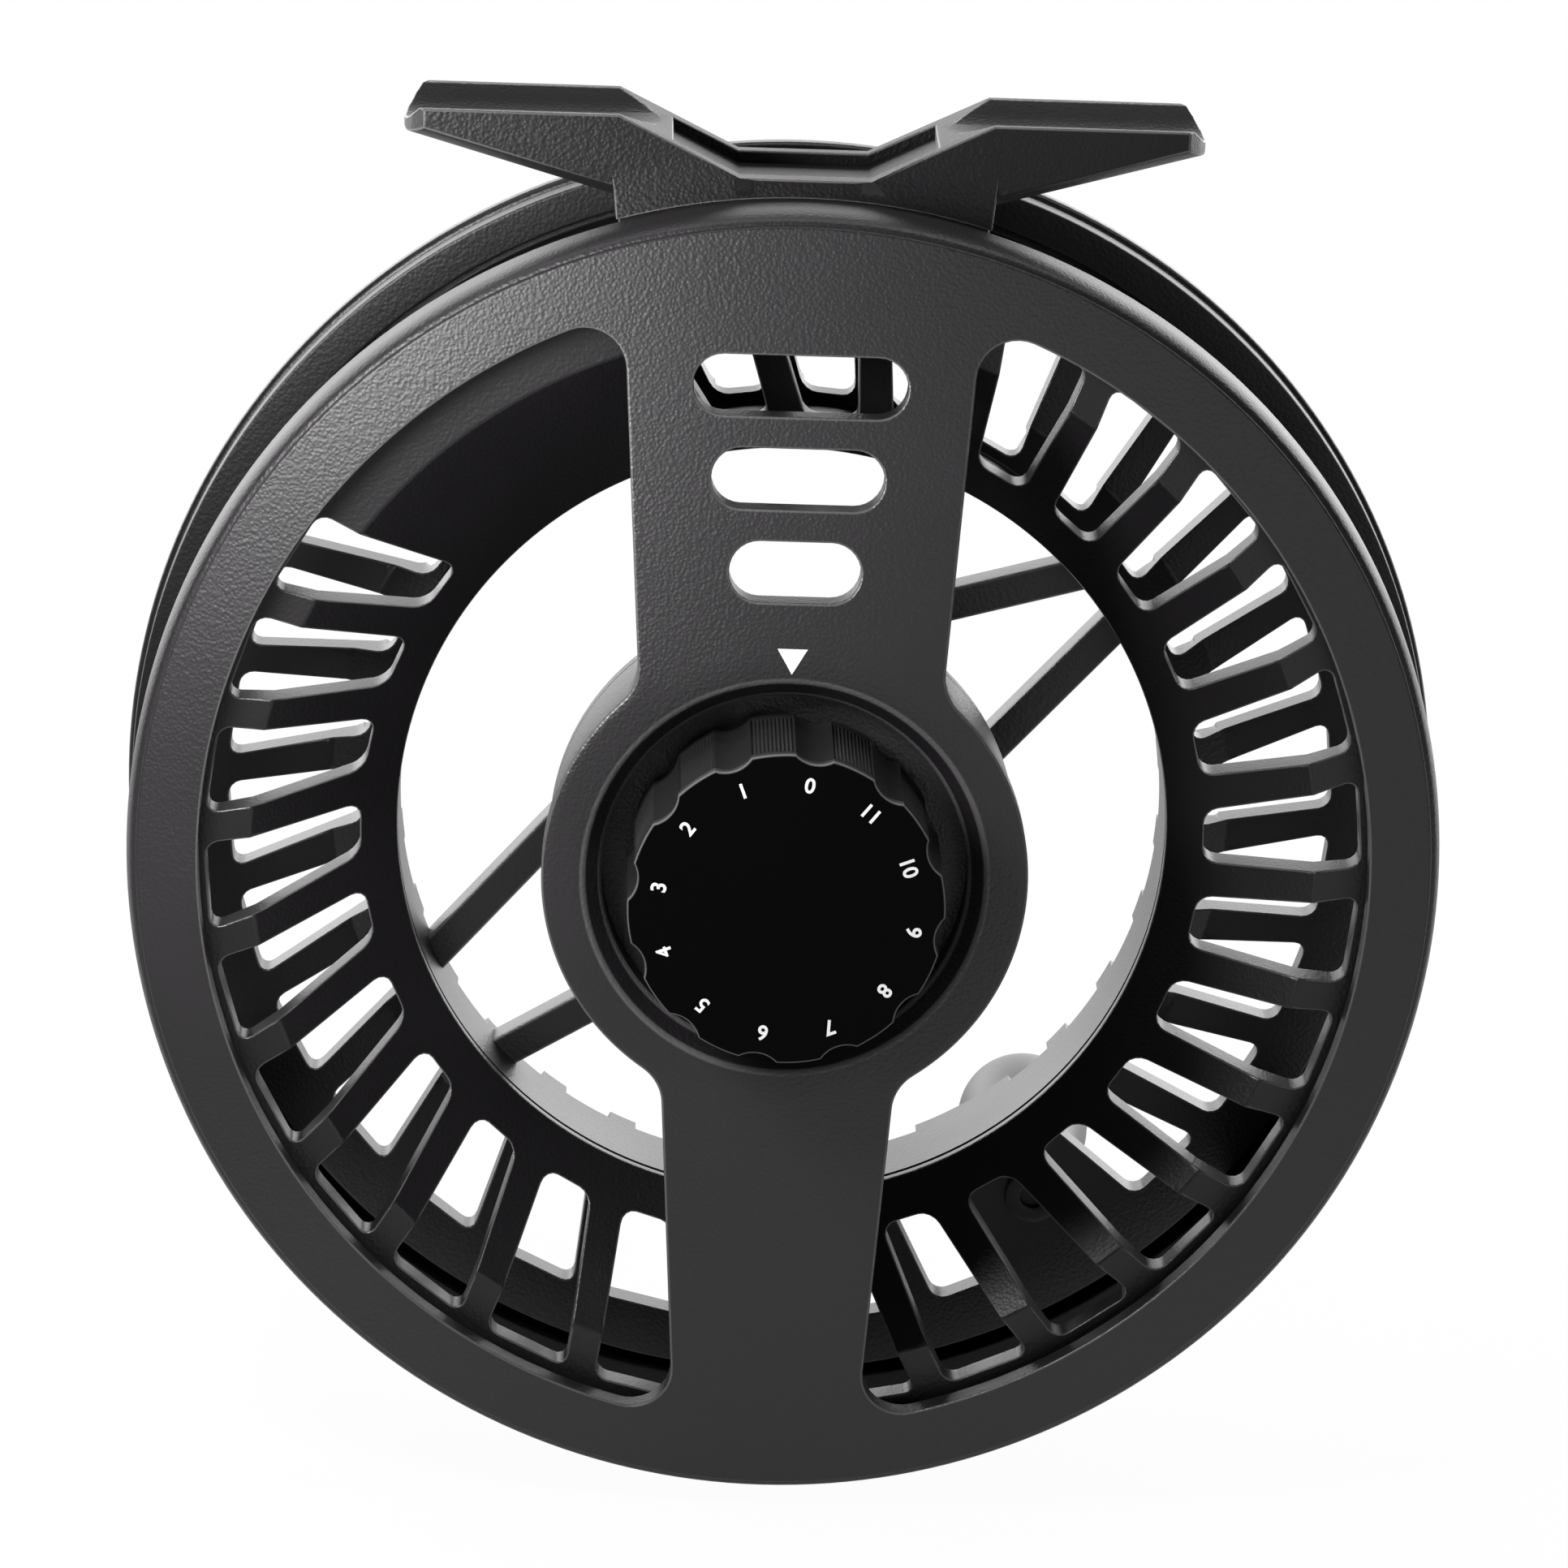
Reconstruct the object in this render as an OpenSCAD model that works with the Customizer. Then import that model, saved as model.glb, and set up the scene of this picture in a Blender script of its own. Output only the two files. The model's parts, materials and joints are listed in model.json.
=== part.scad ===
// Full-cage fly reel with a slotted large-arbor spool and a sealed disc drag.
// The spool axis runs along Y, with the drag side towards -Y and the foot on top.
// Depths are measured along the axis from the front face of the near ring.

/* [Frame] */
// Largest radius of the near ring
ring_r = 48.4; // [46:0.1:52]
// How far inside that radius the ring's flat front face ends
ring_round = 0.8; // [0.4:0.1:2]
// Width of the near ring's front lip
lip_w = 5.4; // [4.4:0.1:7]
// Wall of the near ring round the spool's near flange
ring_wall = 4; // [3:0.1:4.6]
// Depth of the near ring
ring_depth = 6.5; // [5:0.1:8]
// Thickness of the near ring's front lip
lip_t = 2.2; // [1.5:0.1:2.6]
// Thickness of the arm
arm_t = 2.6; // [2:0.1:3]
// Width of the upper arm at the boss
upper_arm_hub_w = 22.6; // [18:0.2:26]
// Width of the upper arm at the ring
upper_arm_ring_w = 26.2; // [20:0.2:30]
// Width of the lower arm at the boss
lower_arm_hub_w = 17; // [12:0.2:20]
// Width of the lower arm at the ring
lower_arm_ring_w = 13.7; // [10:0.2:18]
// Fillet where an arm meets the ring
ring_fillet = 3; // [1:0.1:4]
// Fillet where an arm meets the boss
boss_fillet = 3.4; // [1:0.1:4]
// How far the far ring stands out past the near ring
far_ring_step = 0.6; // [0:0.1:2]
// Width of the far ring
far_ring_w = 2.6; // [2:0.1:3]
// Depth of the far ring's front face
far_ring_front = 22; // [20:0.1:24]
// Thickness of the far ring
far_ring_t = 2.6; // [2:0.1:4]
// Thickness of the bridge and the lower pillars
pillar_t = 2.4; // [2:0.1:3]
// Angle of each lower pillar below the horizontal
pillar_angle = 35; // [20:1:60]
// Width of each lower pillar
pillar_w = 9; // [6:0.5:14]

/* [Arm slots] */
// Height of each slot in the upper arm
arm_slot_h = 4.4; // [3:0.1:5]
// Length of the top slot
arm_slot_l = 15.6; // [12:0.2:18]
// How much shorter each lower slot is
arm_slot_step = 3; // [0:0.1:4]
// Distance from one slot to the next
arm_slot_pitch = 6.7; // [5.5:0.1:7]
// Distance from the ring's lip to the middle of the top slot
arm_slot_edge = 6.9; // [6:0.1:9]
// Least wall between the lowest slot and the boss
arm_slot_wall = 1; // [0.5:0.1:3]

/* [Drag housing] */
// How far the boss on the arm stands out past the drag housing
boss_step = 0.5; // [0.2:0.1:2]
// How far the boss stands in front of the ring
boss_front = 3.5; // [2:0.1:5]
// Wall of the drag housing
housing_wall = 2.1; // [2:0.1:3]
// Gap round the drag knob in its recess
knob_gap = 1.9; // [1:0.1:2.5]
// Width of the bevel at the mouth of the recess
recess_bevel = 1.4; // [0.5:0.1:2]
// Depth of the recess floor
recess_floor = 1.2; // [1:0.1:2]
// Thickness of the wall between recess and drag stack
wall_t = 2.2; // [1.8:0.1:3]
// Radius of the drag cavity
cavity_r = 15.2; // [15:0.1:15.5]
// Thickness of the housing cover
cover_t = 1.4; // [1.2:0.1:2]

/* [Drag knob] */
// Radius of the drag knob
knob_r = 11.5; // [10.5:0.1:12]
// How far the knob's dial stands in front of the ring
dial_front = 12.5; // [10:0.1:15]
// Thickness of the dial plate
dial_t = 0.6; // [0.4:0.1:1]
// Number of scallops round the knob
scallops = 12; // [8:1:16]
// Radius of each scallop
scallop_r = 2.3; // [1.5:0.1:3]
// Depth of each scallop
scallop_depth = 0.55; // [0.3:0.05:0.8]
// Angle of the dial's zero, counterclockwise from +X
dial_zero = 81.4; // [0:0.1:360]
// Thickness of the knob's skirt
knob_skirt_t = 1.4; // [1:0.1:1.8]

/* [Drag stack] */
// Thickness of the pressure plate
plate_t = 0.8; // [0.6:0.1:1]
// Thickness of one spring washer
spring_t = 0.5; // [0.3:0.05:0.6]
// Cone height of one spring washer
spring_h = 0.3; // [0.2:0.05:0.5]
// Thickness of each carbon disc
disc_t = 0.8; // [0.6:0.1:1]
// Thickness of the rotor disc
rotor_t = 0.9; // [0.6:0.1:1.2]
// Inner radius of plate, springs and discs
stack_in_r = 6.2; // [5.9:0.1:7]

/* [Spindle and bearings] */
// Radius of the spindle
spindle_r = 3; // [2.5:0.1:3.2]
// Radius of the threaded end of the spindle
thread_r = 2.4; // [2:0.1:2.5]
// Wall of the rotor bush
bush_t = 0.9; // [0.6:0.1:1]
// Wall of the rotor sleeve
sleeve_t = 1.25; // [1:0.05:1.4]
// Wall of the one-way clutch
clutch_t = 2.35; // [2:0.05:2.6]
// Length of the one-way clutch
clutch_l = 6; // [5:0.1:6.5]
// Outer radius of the ball bearing
bearing_r = 6.5; // [6.3:0.1:7]
// Width of the ball bearing
bearing_w = 4; // [3:0.1:4.5]
// Wall of each bearing ring
bearing_ring_t = 0.8; // [0.7:0.05:0.9]
// Number of balls in the bearing
bearing_balls_n = 10; // [7:1:12]

/* [Spool] */
// Gap between the near ring's lip and the near flange
rim_gap = 1.2; // [0.6:0.1:2]
// Width of the near flange's flat rim
near_rim_w = 4.7; // [3:0.1:7]
// Depth of the line space, from the rim of the near flange to the arbor
line_depth = 13.4; // [11:0.1:16]
// Depth of the near edge of the arbor
arbor_front = 12.6; // [11:0.1:14]
// Wall of the arbor
arbor_t = 1.9; // [1.5:0.1:3]
// Thickness of each flange
flange_t = 2.4; // [1.8:0.1:3]
// How far the far flange's front face stands before the far ring
far_flange_lead = 0.2; // [0:0.1:1]
// Width of the cone between the arbor and the far flange
far_cone_w = 3.4; // [2:0.1:5]
// How far the palming rim stands out past the far ring
palm_step = 0.4; // [0:0.1:2]
// Width of the palming rim
palm_w = 5.9; // [4.5:0.1:7]
// Thickness of the palming rim
palm_t = 2.2; // [1.6:0.1:3]
// Radius of the spool hub
hub_r = 13.5; // [12.5:0.1:14.5]

/* [Spool slots] */
// Number of slot places round each flange
slot_places = 30; // [20:1:36]
// Land between the arbor and the inner ends of the slots
slot_in_land = 0.8; // [0.5:0.1:2]
// Land between the near slots and the rim of their flange
slot_rim = 1.5; // [1:0.1:3]
// Land between the far slots and the palming rim
far_slot_rim = 1.9; // [1:0.1:3]
// Width of a slot at its inner end
slot_in_w = 3.9; // [3:0.1:4.2]
// Width of a slot at its outer end
slot_out_w = 6.6; // [5:0.1:6.8]
// Corner radius of the slots
slot_corner = 1; // [0.5:0.1:1.4]
// Angle of the first slot's outer end
slot_phase = 5; // [0:0.5:12]
// How far a slot's inner end lags its outer end, in degrees
slot_lean = 3.8; // [0:0.1:6]
// First slot place left solid as a counterweight
solid_first = 9; // [0:1:29]
// Number of slot places left solid as a counterweight
solid_count = 3; // [1:1:5]

/* [Spokes] */
// Directions of the spokes, the two of one pair and then the two of the other
spoke_angles = [15.3, 47.5, 210.5, 228.5]; // [0:0.1:360]
// How far inside the hub's rim the line of each spoke passes the axis
spoke_insets = [1.8, 4.9, 6.3, 2.7]; // [1:0.1:8]
// Thickness of a spoke
spoke_t = 2.5; // [1.5:0.1:3]
// Depth of the front edge of the spokes
spoke_front = 20; // [16:0.1:20.4]
// Size of the spokes along the axis
spoke_depth = 3.2; // [2.5:0.1:5]

/* [Handle] */
// Distance of the handle's axis inside the palming rim
handle_inset = 6.6; // [5.5:0.1:8]
// Direction of the handle
handle_angle = -56.6; // [-80:0.1:-40]
// Largest radius of the handle knob
handle_r = 5.05; // [4:0.05:6]
// Radius of the handle knob at its root
handle_root_r = 3.6; // [3.2:0.1:4.5]
// Length of the handle knob
handle_l = 21; // [16:0.5:26]
// Radius of the handle pin
handle_pin_r = 1.6; // [1.2:0.1:2]
// Thickness of the handle washer
handle_washer_t = 0.6; // [0.4:0.1:1]

/* [Spool cap] */
// Radius of the spool cap
cap_r = 7.6; // [7:0.1:9]
// Height of the spool cap
cap_h = 5.6; // [5:0.1:8]
// Number of grips round the spool cap
cap_grips = 10; // [6:1:16]

/* [Reel foot] */
// Length of the foot from tip to tip
foot_l = 59; // [54:0.5:66]
// Width of the foot
foot_w = 12.8; // [11:0.1:14]
// Gap between the foot and the far ring
foot_gap = 0.6; // [0.3:0.1:2]
// Height of the wings' top above the near ring
foot_rise = 5.5; // [5:0.1:8]
// Height of the valley between the wings above the near ring
valley_h = 1.2; // [1:0.1:3]
// Width of the floor of the valley
valley_w = 9.6; // [6:0.1:12]
// Width of the pedestal at the ring
pedestal_w = 27.4; // [25:0.1:30]
// How much each side of the pedestal leans out towards its top, in degrees
pedestal_lean = 9; // [0:1:15]
// Reach of the cove in front of the pedestal
cove_reach = 0.9; // [0.3:0.1:1.4]
// Height of the cove in front of the pedestal
cove_h = 3.8; // [2:0.1:5]
// Thickness of a wing's edge at the pedestal
wing_root_t = 5.4; // [4:0.1:6]
// Thickness of a wing's edge at its tip
wing_tip_t = 1; // [0.8:0.1:2.4]
// Depth of the hollow along the top of the wings
trough_depth = 1.5; // [0.5:0.1:2]
// Width of the flat land on each side of the hollow
land_w = 0.9; // [0.6:0.1:2]
// How far the underside of the wings bulges down
under_bulge = 1.4; // [0.5:0.1:2]
// How far the rounded ends stand out
foot_end_bulge = 1.5; // [0.5:0.1:4]
// Wall before and behind the pocket in the foot
pocket_wall = 1.6; // [1:0.1:2.5]
// Distance from each side of the pedestal to the pocket
pocket_side = 4; // [3.5:0.1:6]
// Depth of the pocket
pocket_depth = 0.9; // [0.6:0.1:1]
// Distance from each side of the pedestal to the foot screw
foot_screw_side = 2.8; // [2.4:0.1:4]
// Radius of the foot screws
foot_screw_r = 1.1; // [0.8:0.1:1.2]

/* [Clearances] */
// Running clearance of a shaft in its bore, on the radius
run_gap = 0.05; // [0.02:0.01:0.1]
// Gap between faces that slide past each other
face_gap = 0.05; // [0.03:0.01:0.1]
// Gap between pieces that pass each other
free_gap = 0.4; // [0.3:0.05:0.5]

/* [Hidden] */
$fn = 96;

// Overlap that lets cutting shapes pass clear through a wall
over = 1;
// Facets of a rounded corner drawn as an outline
arc_steps = 6;

// Frame
ring_face_r = ring_r - ring_round;
ring_in_r = ring_r - lip_w;
rebate_r = ring_r - ring_wall;
far_ring_r = ring_r + far_ring_step;
far_ring_in_r = far_ring_r - far_ring_w;
// the bridge lies just inside the ring
bridge_r = ring_r - 0.1;
pillar_in_r = bridge_r - pillar_t;
housing_r = cavity_r + housing_wall;
boss_r = housing_r + boss_step;
recess_r = knob_r + knob_gap;
arm_slot_top = ring_in_r - arm_slot_edge;
arm_slot_room = arm_slot_top - arm_slot_h / 2 - arm_slot_wall - boss_r;
arm_slots_n = 1 + floor(arm_slot_room / arm_slot_pitch);

// Depths through the drag stack, from front to back
wall_back = recess_floor + wall_t;
plate_front = wall_back + 0.5;
springs_front = plate_front + plate_t;
front_disc_front = springs_front + 2 * (spring_t + spring_h);
rotor_front = front_disc_front + disc_t + face_gap;
rear_disc_front = rotor_front + rotor_t + face_gap;
cover_front = rear_disc_front + disc_t;
cover_back = cover_front + cover_t;
stack_out_r = cavity_r - 0.6;
spring_in_r = stack_in_r + 1;
spring_out_r = stack_out_r - 1;
cover_screw_at_r = (cavity_r + housing_r) / 2;
cover_screw_r = 0.6;
cover_screw_grip = 2;
cover_screw_head_r = 0.95;
cover_screw_head_t = 0.7;

// Drag knob
knob_face = -dial_front + dial_t;
knob_back = recess_floor - 0.8;
knob_web_t = 2.4;
knob_hub_r = 5;
knob_bore_r = spindle_r + run_gap;
screw_pocket_depth = 1.7;
screw_head_r = 4.4;
knob_screw_r = 1.5;
knob_screw_l = 6;
spindle_front = knob_face + screw_pocket_depth - face_gap;
knob_cavity_r = knob_r - scallop_depth - knob_skirt_t;
detent_at_r = (knob_cavity_r + knob_r - scallop_depth) / 2;
detent_r = 0.6;
detent_front = knob_back + 0.1;
detent_hole_back = wall_back - 0.4;
nut_back = recess_floor - 1.8;
nut_t = 2.6;
nut_r = knob_cavity_r - free_gap;
leg_at_r = (stack_in_r + nut_r) / 2 - 0.4;
leg_r = 1.2;

// Spindle, clutch and bearing
bush_in_r = spindle_r + run_gap;
sleeve_in_r = bush_in_r + bush_t;
sleeve_r = sleeve_in_r + sleeve_t;
seal_groove_r = sleeve_r + 1;
clutch_in_r = sleeve_r + run_gap;
clutch_r = clutch_in_r + clutch_t;
hub_front = cover_back + free_gap;
clutch_front = hub_front + 0.5;
clutch_back = clutch_front + clutch_l;
bearing_front = clutch_back + 0.8;
bearing_back = bearing_front + bearing_w;
clip_t = 0.6;
hub_back = bearing_back + clip_t + 0.8;
sleeve_back = clutch_back - 0.1;
spindle_shoulder = bearing_back + 0.4;
spindle_back = hub_back + cap_h - 2;
cap_front = hub_back + 0.2;
washer_t = 0.5;

// Spool
near_flange_r = rebate_r - free_gap;
near_rim_front = lip_t + rim_gap;
near_kink_r = near_flange_r - near_rim_w;
arbor_r = near_flange_r - line_depth;
arbor_in_r = arbor_r - arbor_t;
far_flange_r = min(pillar_in_r, far_ring_in_r) - free_gap;
far_flange_front = far_ring_front - far_flange_lead;
far_kink_r = arbor_r + far_cone_w;
palm_r = far_ring_r + palm_step;
palm_in_r = palm_r - palm_w;
slot_in_r = arbor_r + slot_in_land;
slot_out_r = near_flange_r - slot_rim;
far_slot_out_r = palm_in_r - far_slot_rim;
near_slope = (arbor_front - near_rim_front) / (near_kink_r - arbor_in_r);
near_axial_t = flange_t * sqrt(1 + near_slope * near_slope);
far_flange_back = far_flange_front + flange_t + 0.4;
palm_front = far_ring_front + far_ring_t + 0.3;
palm_back = palm_front + palm_t;
slot_pitch = 360 / slot_places;
far_solid = floor((handle_angle - slot_phase) / slot_pitch + 0.5);
handle_at_r = palm_in_r - handle_inset;
handle_pos = handle_at_r * [cos(handle_angle), sin(handle_angle)];
handle_front = far_flange_back + handle_washer_t + 0.3;
handle_back = handle_front + handle_l;
handle_screw_pocket = 3.4;

// Foot
foot_back = far_ring_front - foot_gap;
foot_front = foot_back - foot_w;
foot_mid = foot_front + foot_w / 2;
foot_top = ring_r + foot_rise;
valley_z = ring_r + valley_h;
half_foot = foot_l / 2;
end_arc_r = (foot_w * foot_w / 4 + foot_end_bulge * foot_end_bulge) / (2 * foot_end_bulge);
end_arc_half = asin(foot_w / 2 / end_arc_r);
slope_x = pedestal_w / 2;
valley_slope = (foot_top - valley_z) / (slope_x - valley_w / 2);
trough_half = foot_w / 2 - land_w;
trough_r = (trough_half * trough_half + trough_depth * trough_depth) / (2 * trough_depth);
under_r = (foot_w * foot_w / 4 + under_bulge * under_bulge) / (2 * under_bulge);
wing_angle = atan((wing_root_t - wing_tip_t) / (half_foot - slope_x));
cove_r = ring_r + cove_h;
pocket_l = pedestal_w - 2 * pocket_side;
foot_screw_x = pedestal_w / 2 - foot_screw_side;
foot_screw_head_r = foot_screw_r + 0.9;
foot_screw_head_top = sqrt(ring_r * ring_r - foot_screw_x * foot_screw_x) - 0.9;
foot_screw_low = sqrt(pillar_in_r * pillar_in_r - pow(foot_screw_x + foot_screw_head_r, 2)) + 0.1;
foot_screw_high = foot_top - wing_root_t + 2;

// Puts the middle of the wings' top at the origin
module seated() {
    translate([0, -foot_mid, -foot_top]) children();
}

// A body turned about the spool axis; points are [radius, depth]
module turned(profile) {
    rotate([-90, 0, 0]) rotate_extrude() polygon(profile);
}

module rod(r, from, to) {
    translate([0, from, 0]) rotate([-90, 0, 0]) cylinder(r = r, h = to - from);
}

module tube(r, in_r, from, to) {
    difference() {
        rod(r, from, to);
        rod(in_r, from - over, to + over);
    }
}

// An outline in X and Z, made as deep as the two depths say
module plate(from, to) {
    translate([0, to, 0]) rotate([90, 0, 0]) linear_extrude(to - from) children();
}

// Three places round the axis, at a distance from it
module three_places(r) {
    for (i = [0:2]) rotate([0, 120 * i, 0]) translate([r, 0, 0]) children();
}

module at_handle() {
    translate([handle_pos.x, 0, handle_pos.y]) children();
}

function unit(v) = v / norm(v);
function turn(v, a) = [v.x * cos(a) - v.y * sin(a), v.x * sin(a) + v.y * cos(a)];
function arc(c, r, a, b, n = arc_steps) =
    [for (i = [0:n]) let (at = a + (b - a) * i / n) c + r * [cos(at), sin(at)]];
function heading(v) = atan2(v.y, v.x);

// A closed outline whose corners are rounded; the corners run counterclockwise
function rounded(points, r) = let (n = len(points)) [
    for (i = [0:n - 1])
        let (
            p = points[i],
            back = unit(points[(i + n - 1) % n] - p),
            ahead = unit(points[(i + 1) % n] - p),
            half = acos(back * ahead) / 2,
            c = p + unit(back + ahead) * r / sin(half),
            a = heading(turn(-back, -90)),
            sweep = 180 - 2 * half
        )
        each arc(c, r, a, a + sweep)
];

// Upper right part of the fillet between an arm's edge and a circle round the axis
module edge_fillet(low, high, circle_r, r, inside) {
    along = unit(high - low);
    out = turn(along, -90);
    reach = inside ? circle_r - r : circle_r + r;
    start = low + r * out;
    b = start * along;
    s = -b + sqrt(b * b - start * start + reach * reach);
    c = start + s * along;
    on_edge = heading(-out);
    to_circle = heading(inside ? c : -c);
    turn_by = inside ? to_circle - on_edge - 360 * floor((to_circle - on_edge) / 360) - 360
        : to_circle - on_edge - 360 * floor((to_circle - on_edge) / 360);
    tip = inside ? c * (circle_r + over) / norm(c) : c * (circle_r - over) / norm(c);
    corner = c - (r + over) * out + (inside ? 1 : -1) * (r + over) * along;
    // the ends reach a little into the arm and the ring, so that no corner lies just on their edges
    curve = arc(c, r, on_edge, on_edge + turn_by);
    sunk = 1.06 * r;
    polygon(concat(
        [c + sunk * [cos(on_edge), sin(on_edge)]],
        [for (i = [1:arc_steps - 1]) curve[i]],
        [c + sunk * [cos(to_circle), sin(to_circle)], tip, corner]
    ));
}

// One arm from the axis up to the ring
module arm_outline(hub_w, ring_w) {
    low = [hub_w / 2, boss_r * 0.95];
    high = [ring_w / 2, ring_in_r];
    polygon([[0, 0], [low.x, 0], low, high, [-high.x, high.y], [-low.x, low.y], [-low.x, 0]]);
    for (side = [0, 1]) mirror([side, 0]) {
        edge_fillet(low, high, ring_in_r, ring_fillet, true);
        edge_fillet(low, high, boss_r, boss_fillet, false);
    }
}

module obround(l, h) {
    polygon(concat(arc([l / 2 - h / 2, 0], h / 2, -90, 90, 10), arc([h / 2 - l / 2, 0], h / 2, 90, 270, 10)));
}

module arm_slots() {
    for (i = [0:arm_slots_n - 1])
        translate([0, arm_slot_top - i * arm_slot_pitch]) obround(arm_slot_l - i * arm_slot_step, arm_slot_h);
}

// Part of a ring round the axis, centred on an angle
module ring_sector(in_r, r, angle, width) {
    half = asin(width / 2 / r);
    intersection() {
        difference() {
            circle(r);
            circle(in_r);
        }
        rotate(angle) polygon([[0, 0], 2 * r * [cos(half), -sin(half)], 2 * r * [cos(half), sin(half)]]);
    }
}

// The two openings beside the arms
module windows() {
    difference() {
        circle(ring_in_r);
        circle(boss_r);
        arm_outline(upper_arm_hub_w, upper_arm_ring_w);
        mirror([0, 1]) arm_outline(lower_arm_hub_w, lower_arm_ring_w);
    }
}

// Ring, dished arms, boss and drag housing as one turned shape, before the openings are cut
module front_blank() {
    crown = ring_depth * 0.45;
    edge = 0.3;
    arm_back = arm_t - boss_front;
    turned(concat(
        [[0, -boss_front], [boss_r - edge, -boss_front], [ring_in_r + edge, 0]],
        [for (a = [0:22.5:90]) [ring_face_r + (ring_r - ring_face_r) * sin(a), crown * (1 - cos(a))]],
        [[ring_r, ring_depth], [rebate_r, ring_depth], [rebate_r, lip_t], [ring_in_r + edge, lip_t],
         [housing_r, arm_back], [housing_r, cover_front], [0, cover_front]]
    ));
}

module frame() {
    color("#242327") difference() {
        union() {
            front_blank();
            plate(ring_depth - over, far_ring_front + over) {
                ring_sector(pillar_in_r, bridge_r, 90, pedestal_w);
                for (side = [0, 1])
                    mirror([side, 0]) ring_sector(pillar_in_r, bridge_r, -pillar_angle, pillar_w);
            }
            tube(far_ring_r, far_ring_in_r, far_ring_front, far_ring_front + far_ring_t);
        }
        plate(-boss_front - over, ring_depth) windows();
        plate(-boss_front - over, ring_depth) arm_slots();
        // recess of the knob with its bevelled mouth
        turned([
            [0, -boss_front - over], [recess_r + recess_bevel + over, -boss_front - over],
            [recess_r, recess_bevel - boss_front], [recess_r, recess_floor], [0, recess_floor]
        ]);
        rod(cavity_r, wall_back, cover_front + over);
        rod(spindle_r, 0, wall_back + over);
        three_places(leg_at_r) rod(leg_r + run_gap, 0, wall_back + over);
        three_places(cover_screw_at_r) rod(cover_screw_r, cover_front - cover_screw_grip, cover_front + over);
        translate([0, 0, detent_at_r]) rod(detent_r + run_gap, 0, detent_hole_back);
        foot_screw_pair();
    }
}

module foot_screw_pair() {
    for (side = [-1, 1]) translate([side * foot_screw_x, foot_mid, 0]) {
        translate([0, 0, foot_screw_low]) {
            cylinder(r = foot_screw_head_r, h = foot_screw_head_top - foot_screw_low);
            cylinder(r = foot_screw_r, h = foot_screw_high - foot_screw_low);
        }
    }
}

// Everything below the top of the wings and the valley
module foot_outline() {
    polygon([
        [-half_foot, 0], [half_foot, 0], [half_foot, foot_top], [slope_x, foot_top], [valley_w / 2, valley_z],
        [-valley_w / 2, valley_z], [-slope_x, foot_top], [-half_foot, foot_top]
    ]);
}

module pedestal_outline() {
    top = pedestal_w / 2 + (foot_top + over - ring_r) * tan(pedestal_lean);
    polygon([
        [-pedestal_w / 2, 0], [pedestal_w / 2, 0], [pedestal_w / 2, bridge_r - pillar_t], [top, foot_top + over],
        [-top, foot_top + over], [-pedestal_w / 2, bridge_r - pillar_t]
    ]);
}

// Round bar whose lowest line is the keel of the right wing
module wing_bar() {
    translate([slope_x, foot_mid, foot_top - wing_root_t - under_bulge]) rotate([0, -wing_angle, 0])
        translate([-slope_x / 2, 0, under_r]) rotate([0, 90, 0]) cylinder(r = under_r, h = foot_l);
}

module reel_foot() {
    color("#262529") difference() {
        union() {
            intersection() {
                plate(foot_front, foot_back) foot_outline();
                translate([0, foot_mid, 0]) linear_extrude(foot_top + over) polygon(concat(
                    arc([half_foot - end_arc_r, 0], end_arc_r, -end_arc_half, end_arc_half),
                    arc([end_arc_r - half_foot, 0], end_arc_r, 180 - end_arc_half, 180 + end_arc_half)
                ));
                union() {
                    plate(foot_front - over, foot_back + over) pedestal_outline();
                    for (side = [0, 1]) mirror([side, 0, 0]) wing_bar();
                }
            }
            pedestal_cove();
        }
        rod(ring_r, foot_front - 2 * over - cove_reach, ring_depth);
        rod(bridge_r, foot_front - 2 * over - cove_reach, foot_back + over);
        translate([-foot_l, foot_mid, foot_top + trough_r - trough_depth])
            rotate([0, 90, 0]) cylinder(r = trough_r, h = 2 * foot_l);
        foot_pocket();
        foot_screw_pair();
    }
}

// Two flat steps that lead the front of the pedestal down to the ring
module pedestal_cove() {
    step_r = ring_r + cove_h * 0.4;
    step_front = foot_front - cove_reach * 0.4;
    intersection() {
        turned([
            [pillar_in_r, foot_front - cove_reach], [bridge_r, foot_front - cove_reach], [step_r, step_front],
            [cove_r, foot_front], [cove_r, foot_mid], [pillar_in_r, foot_mid]
        ]);
        plate(foot_front - over - cove_reach, foot_mid) intersection() {
            pedestal_outline();
            foot_outline();
        }
    }
}

// Pocket between the front and rear walls of the foot, as deep all along the valley
module foot_pocket() {
    low = valley_z - pocket_depth;
    end_low = low + (pocket_l - valley_w) / 2 * valley_slope;
    plate(foot_front + pocket_wall, foot_back - pocket_wall) polygon([
        [-valley_w / 2, low], [valley_w / 2, low], [pocket_l / 2, end_low], [pocket_l / 2, foot_top],
        [-pocket_l / 2, foot_top], [-pocket_l / 2, end_low]
    ]);
}

module foot_screws() {
    color("#3a3a3d") foot_screw_pair();
}

module spindle() {
    color("#b9bbbe") difference() {
        union() {
            rod(spindle_r, spindle_front, spindle_shoulder);
            rod(spindle_r + 1.6, wall_back, wall_back + 0.4);
            rod(thread_r, spindle_shoulder - over, spindle_back);
        }
        rod(knob_screw_r, spindle_front - over, spindle_front + knob_screw_l);
    }
}

module knob_screw() {
    color("#8d8f92") {
        rod(screw_head_r, spindle_front - 1.2, spindle_front);
        rod(knob_screw_r, spindle_front - 0.5, spindle_front + knob_screw_l);
    }
}

module front_drag_disc() {
    color("#19191b") tube(stack_out_r, stack_in_r, front_disc_front, front_disc_front + disc_t);
}

module rear_drag_disc() {
    color("#19191b") tube(stack_out_r, stack_in_r, rear_disc_front, rear_disc_front + disc_t);
}

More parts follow.
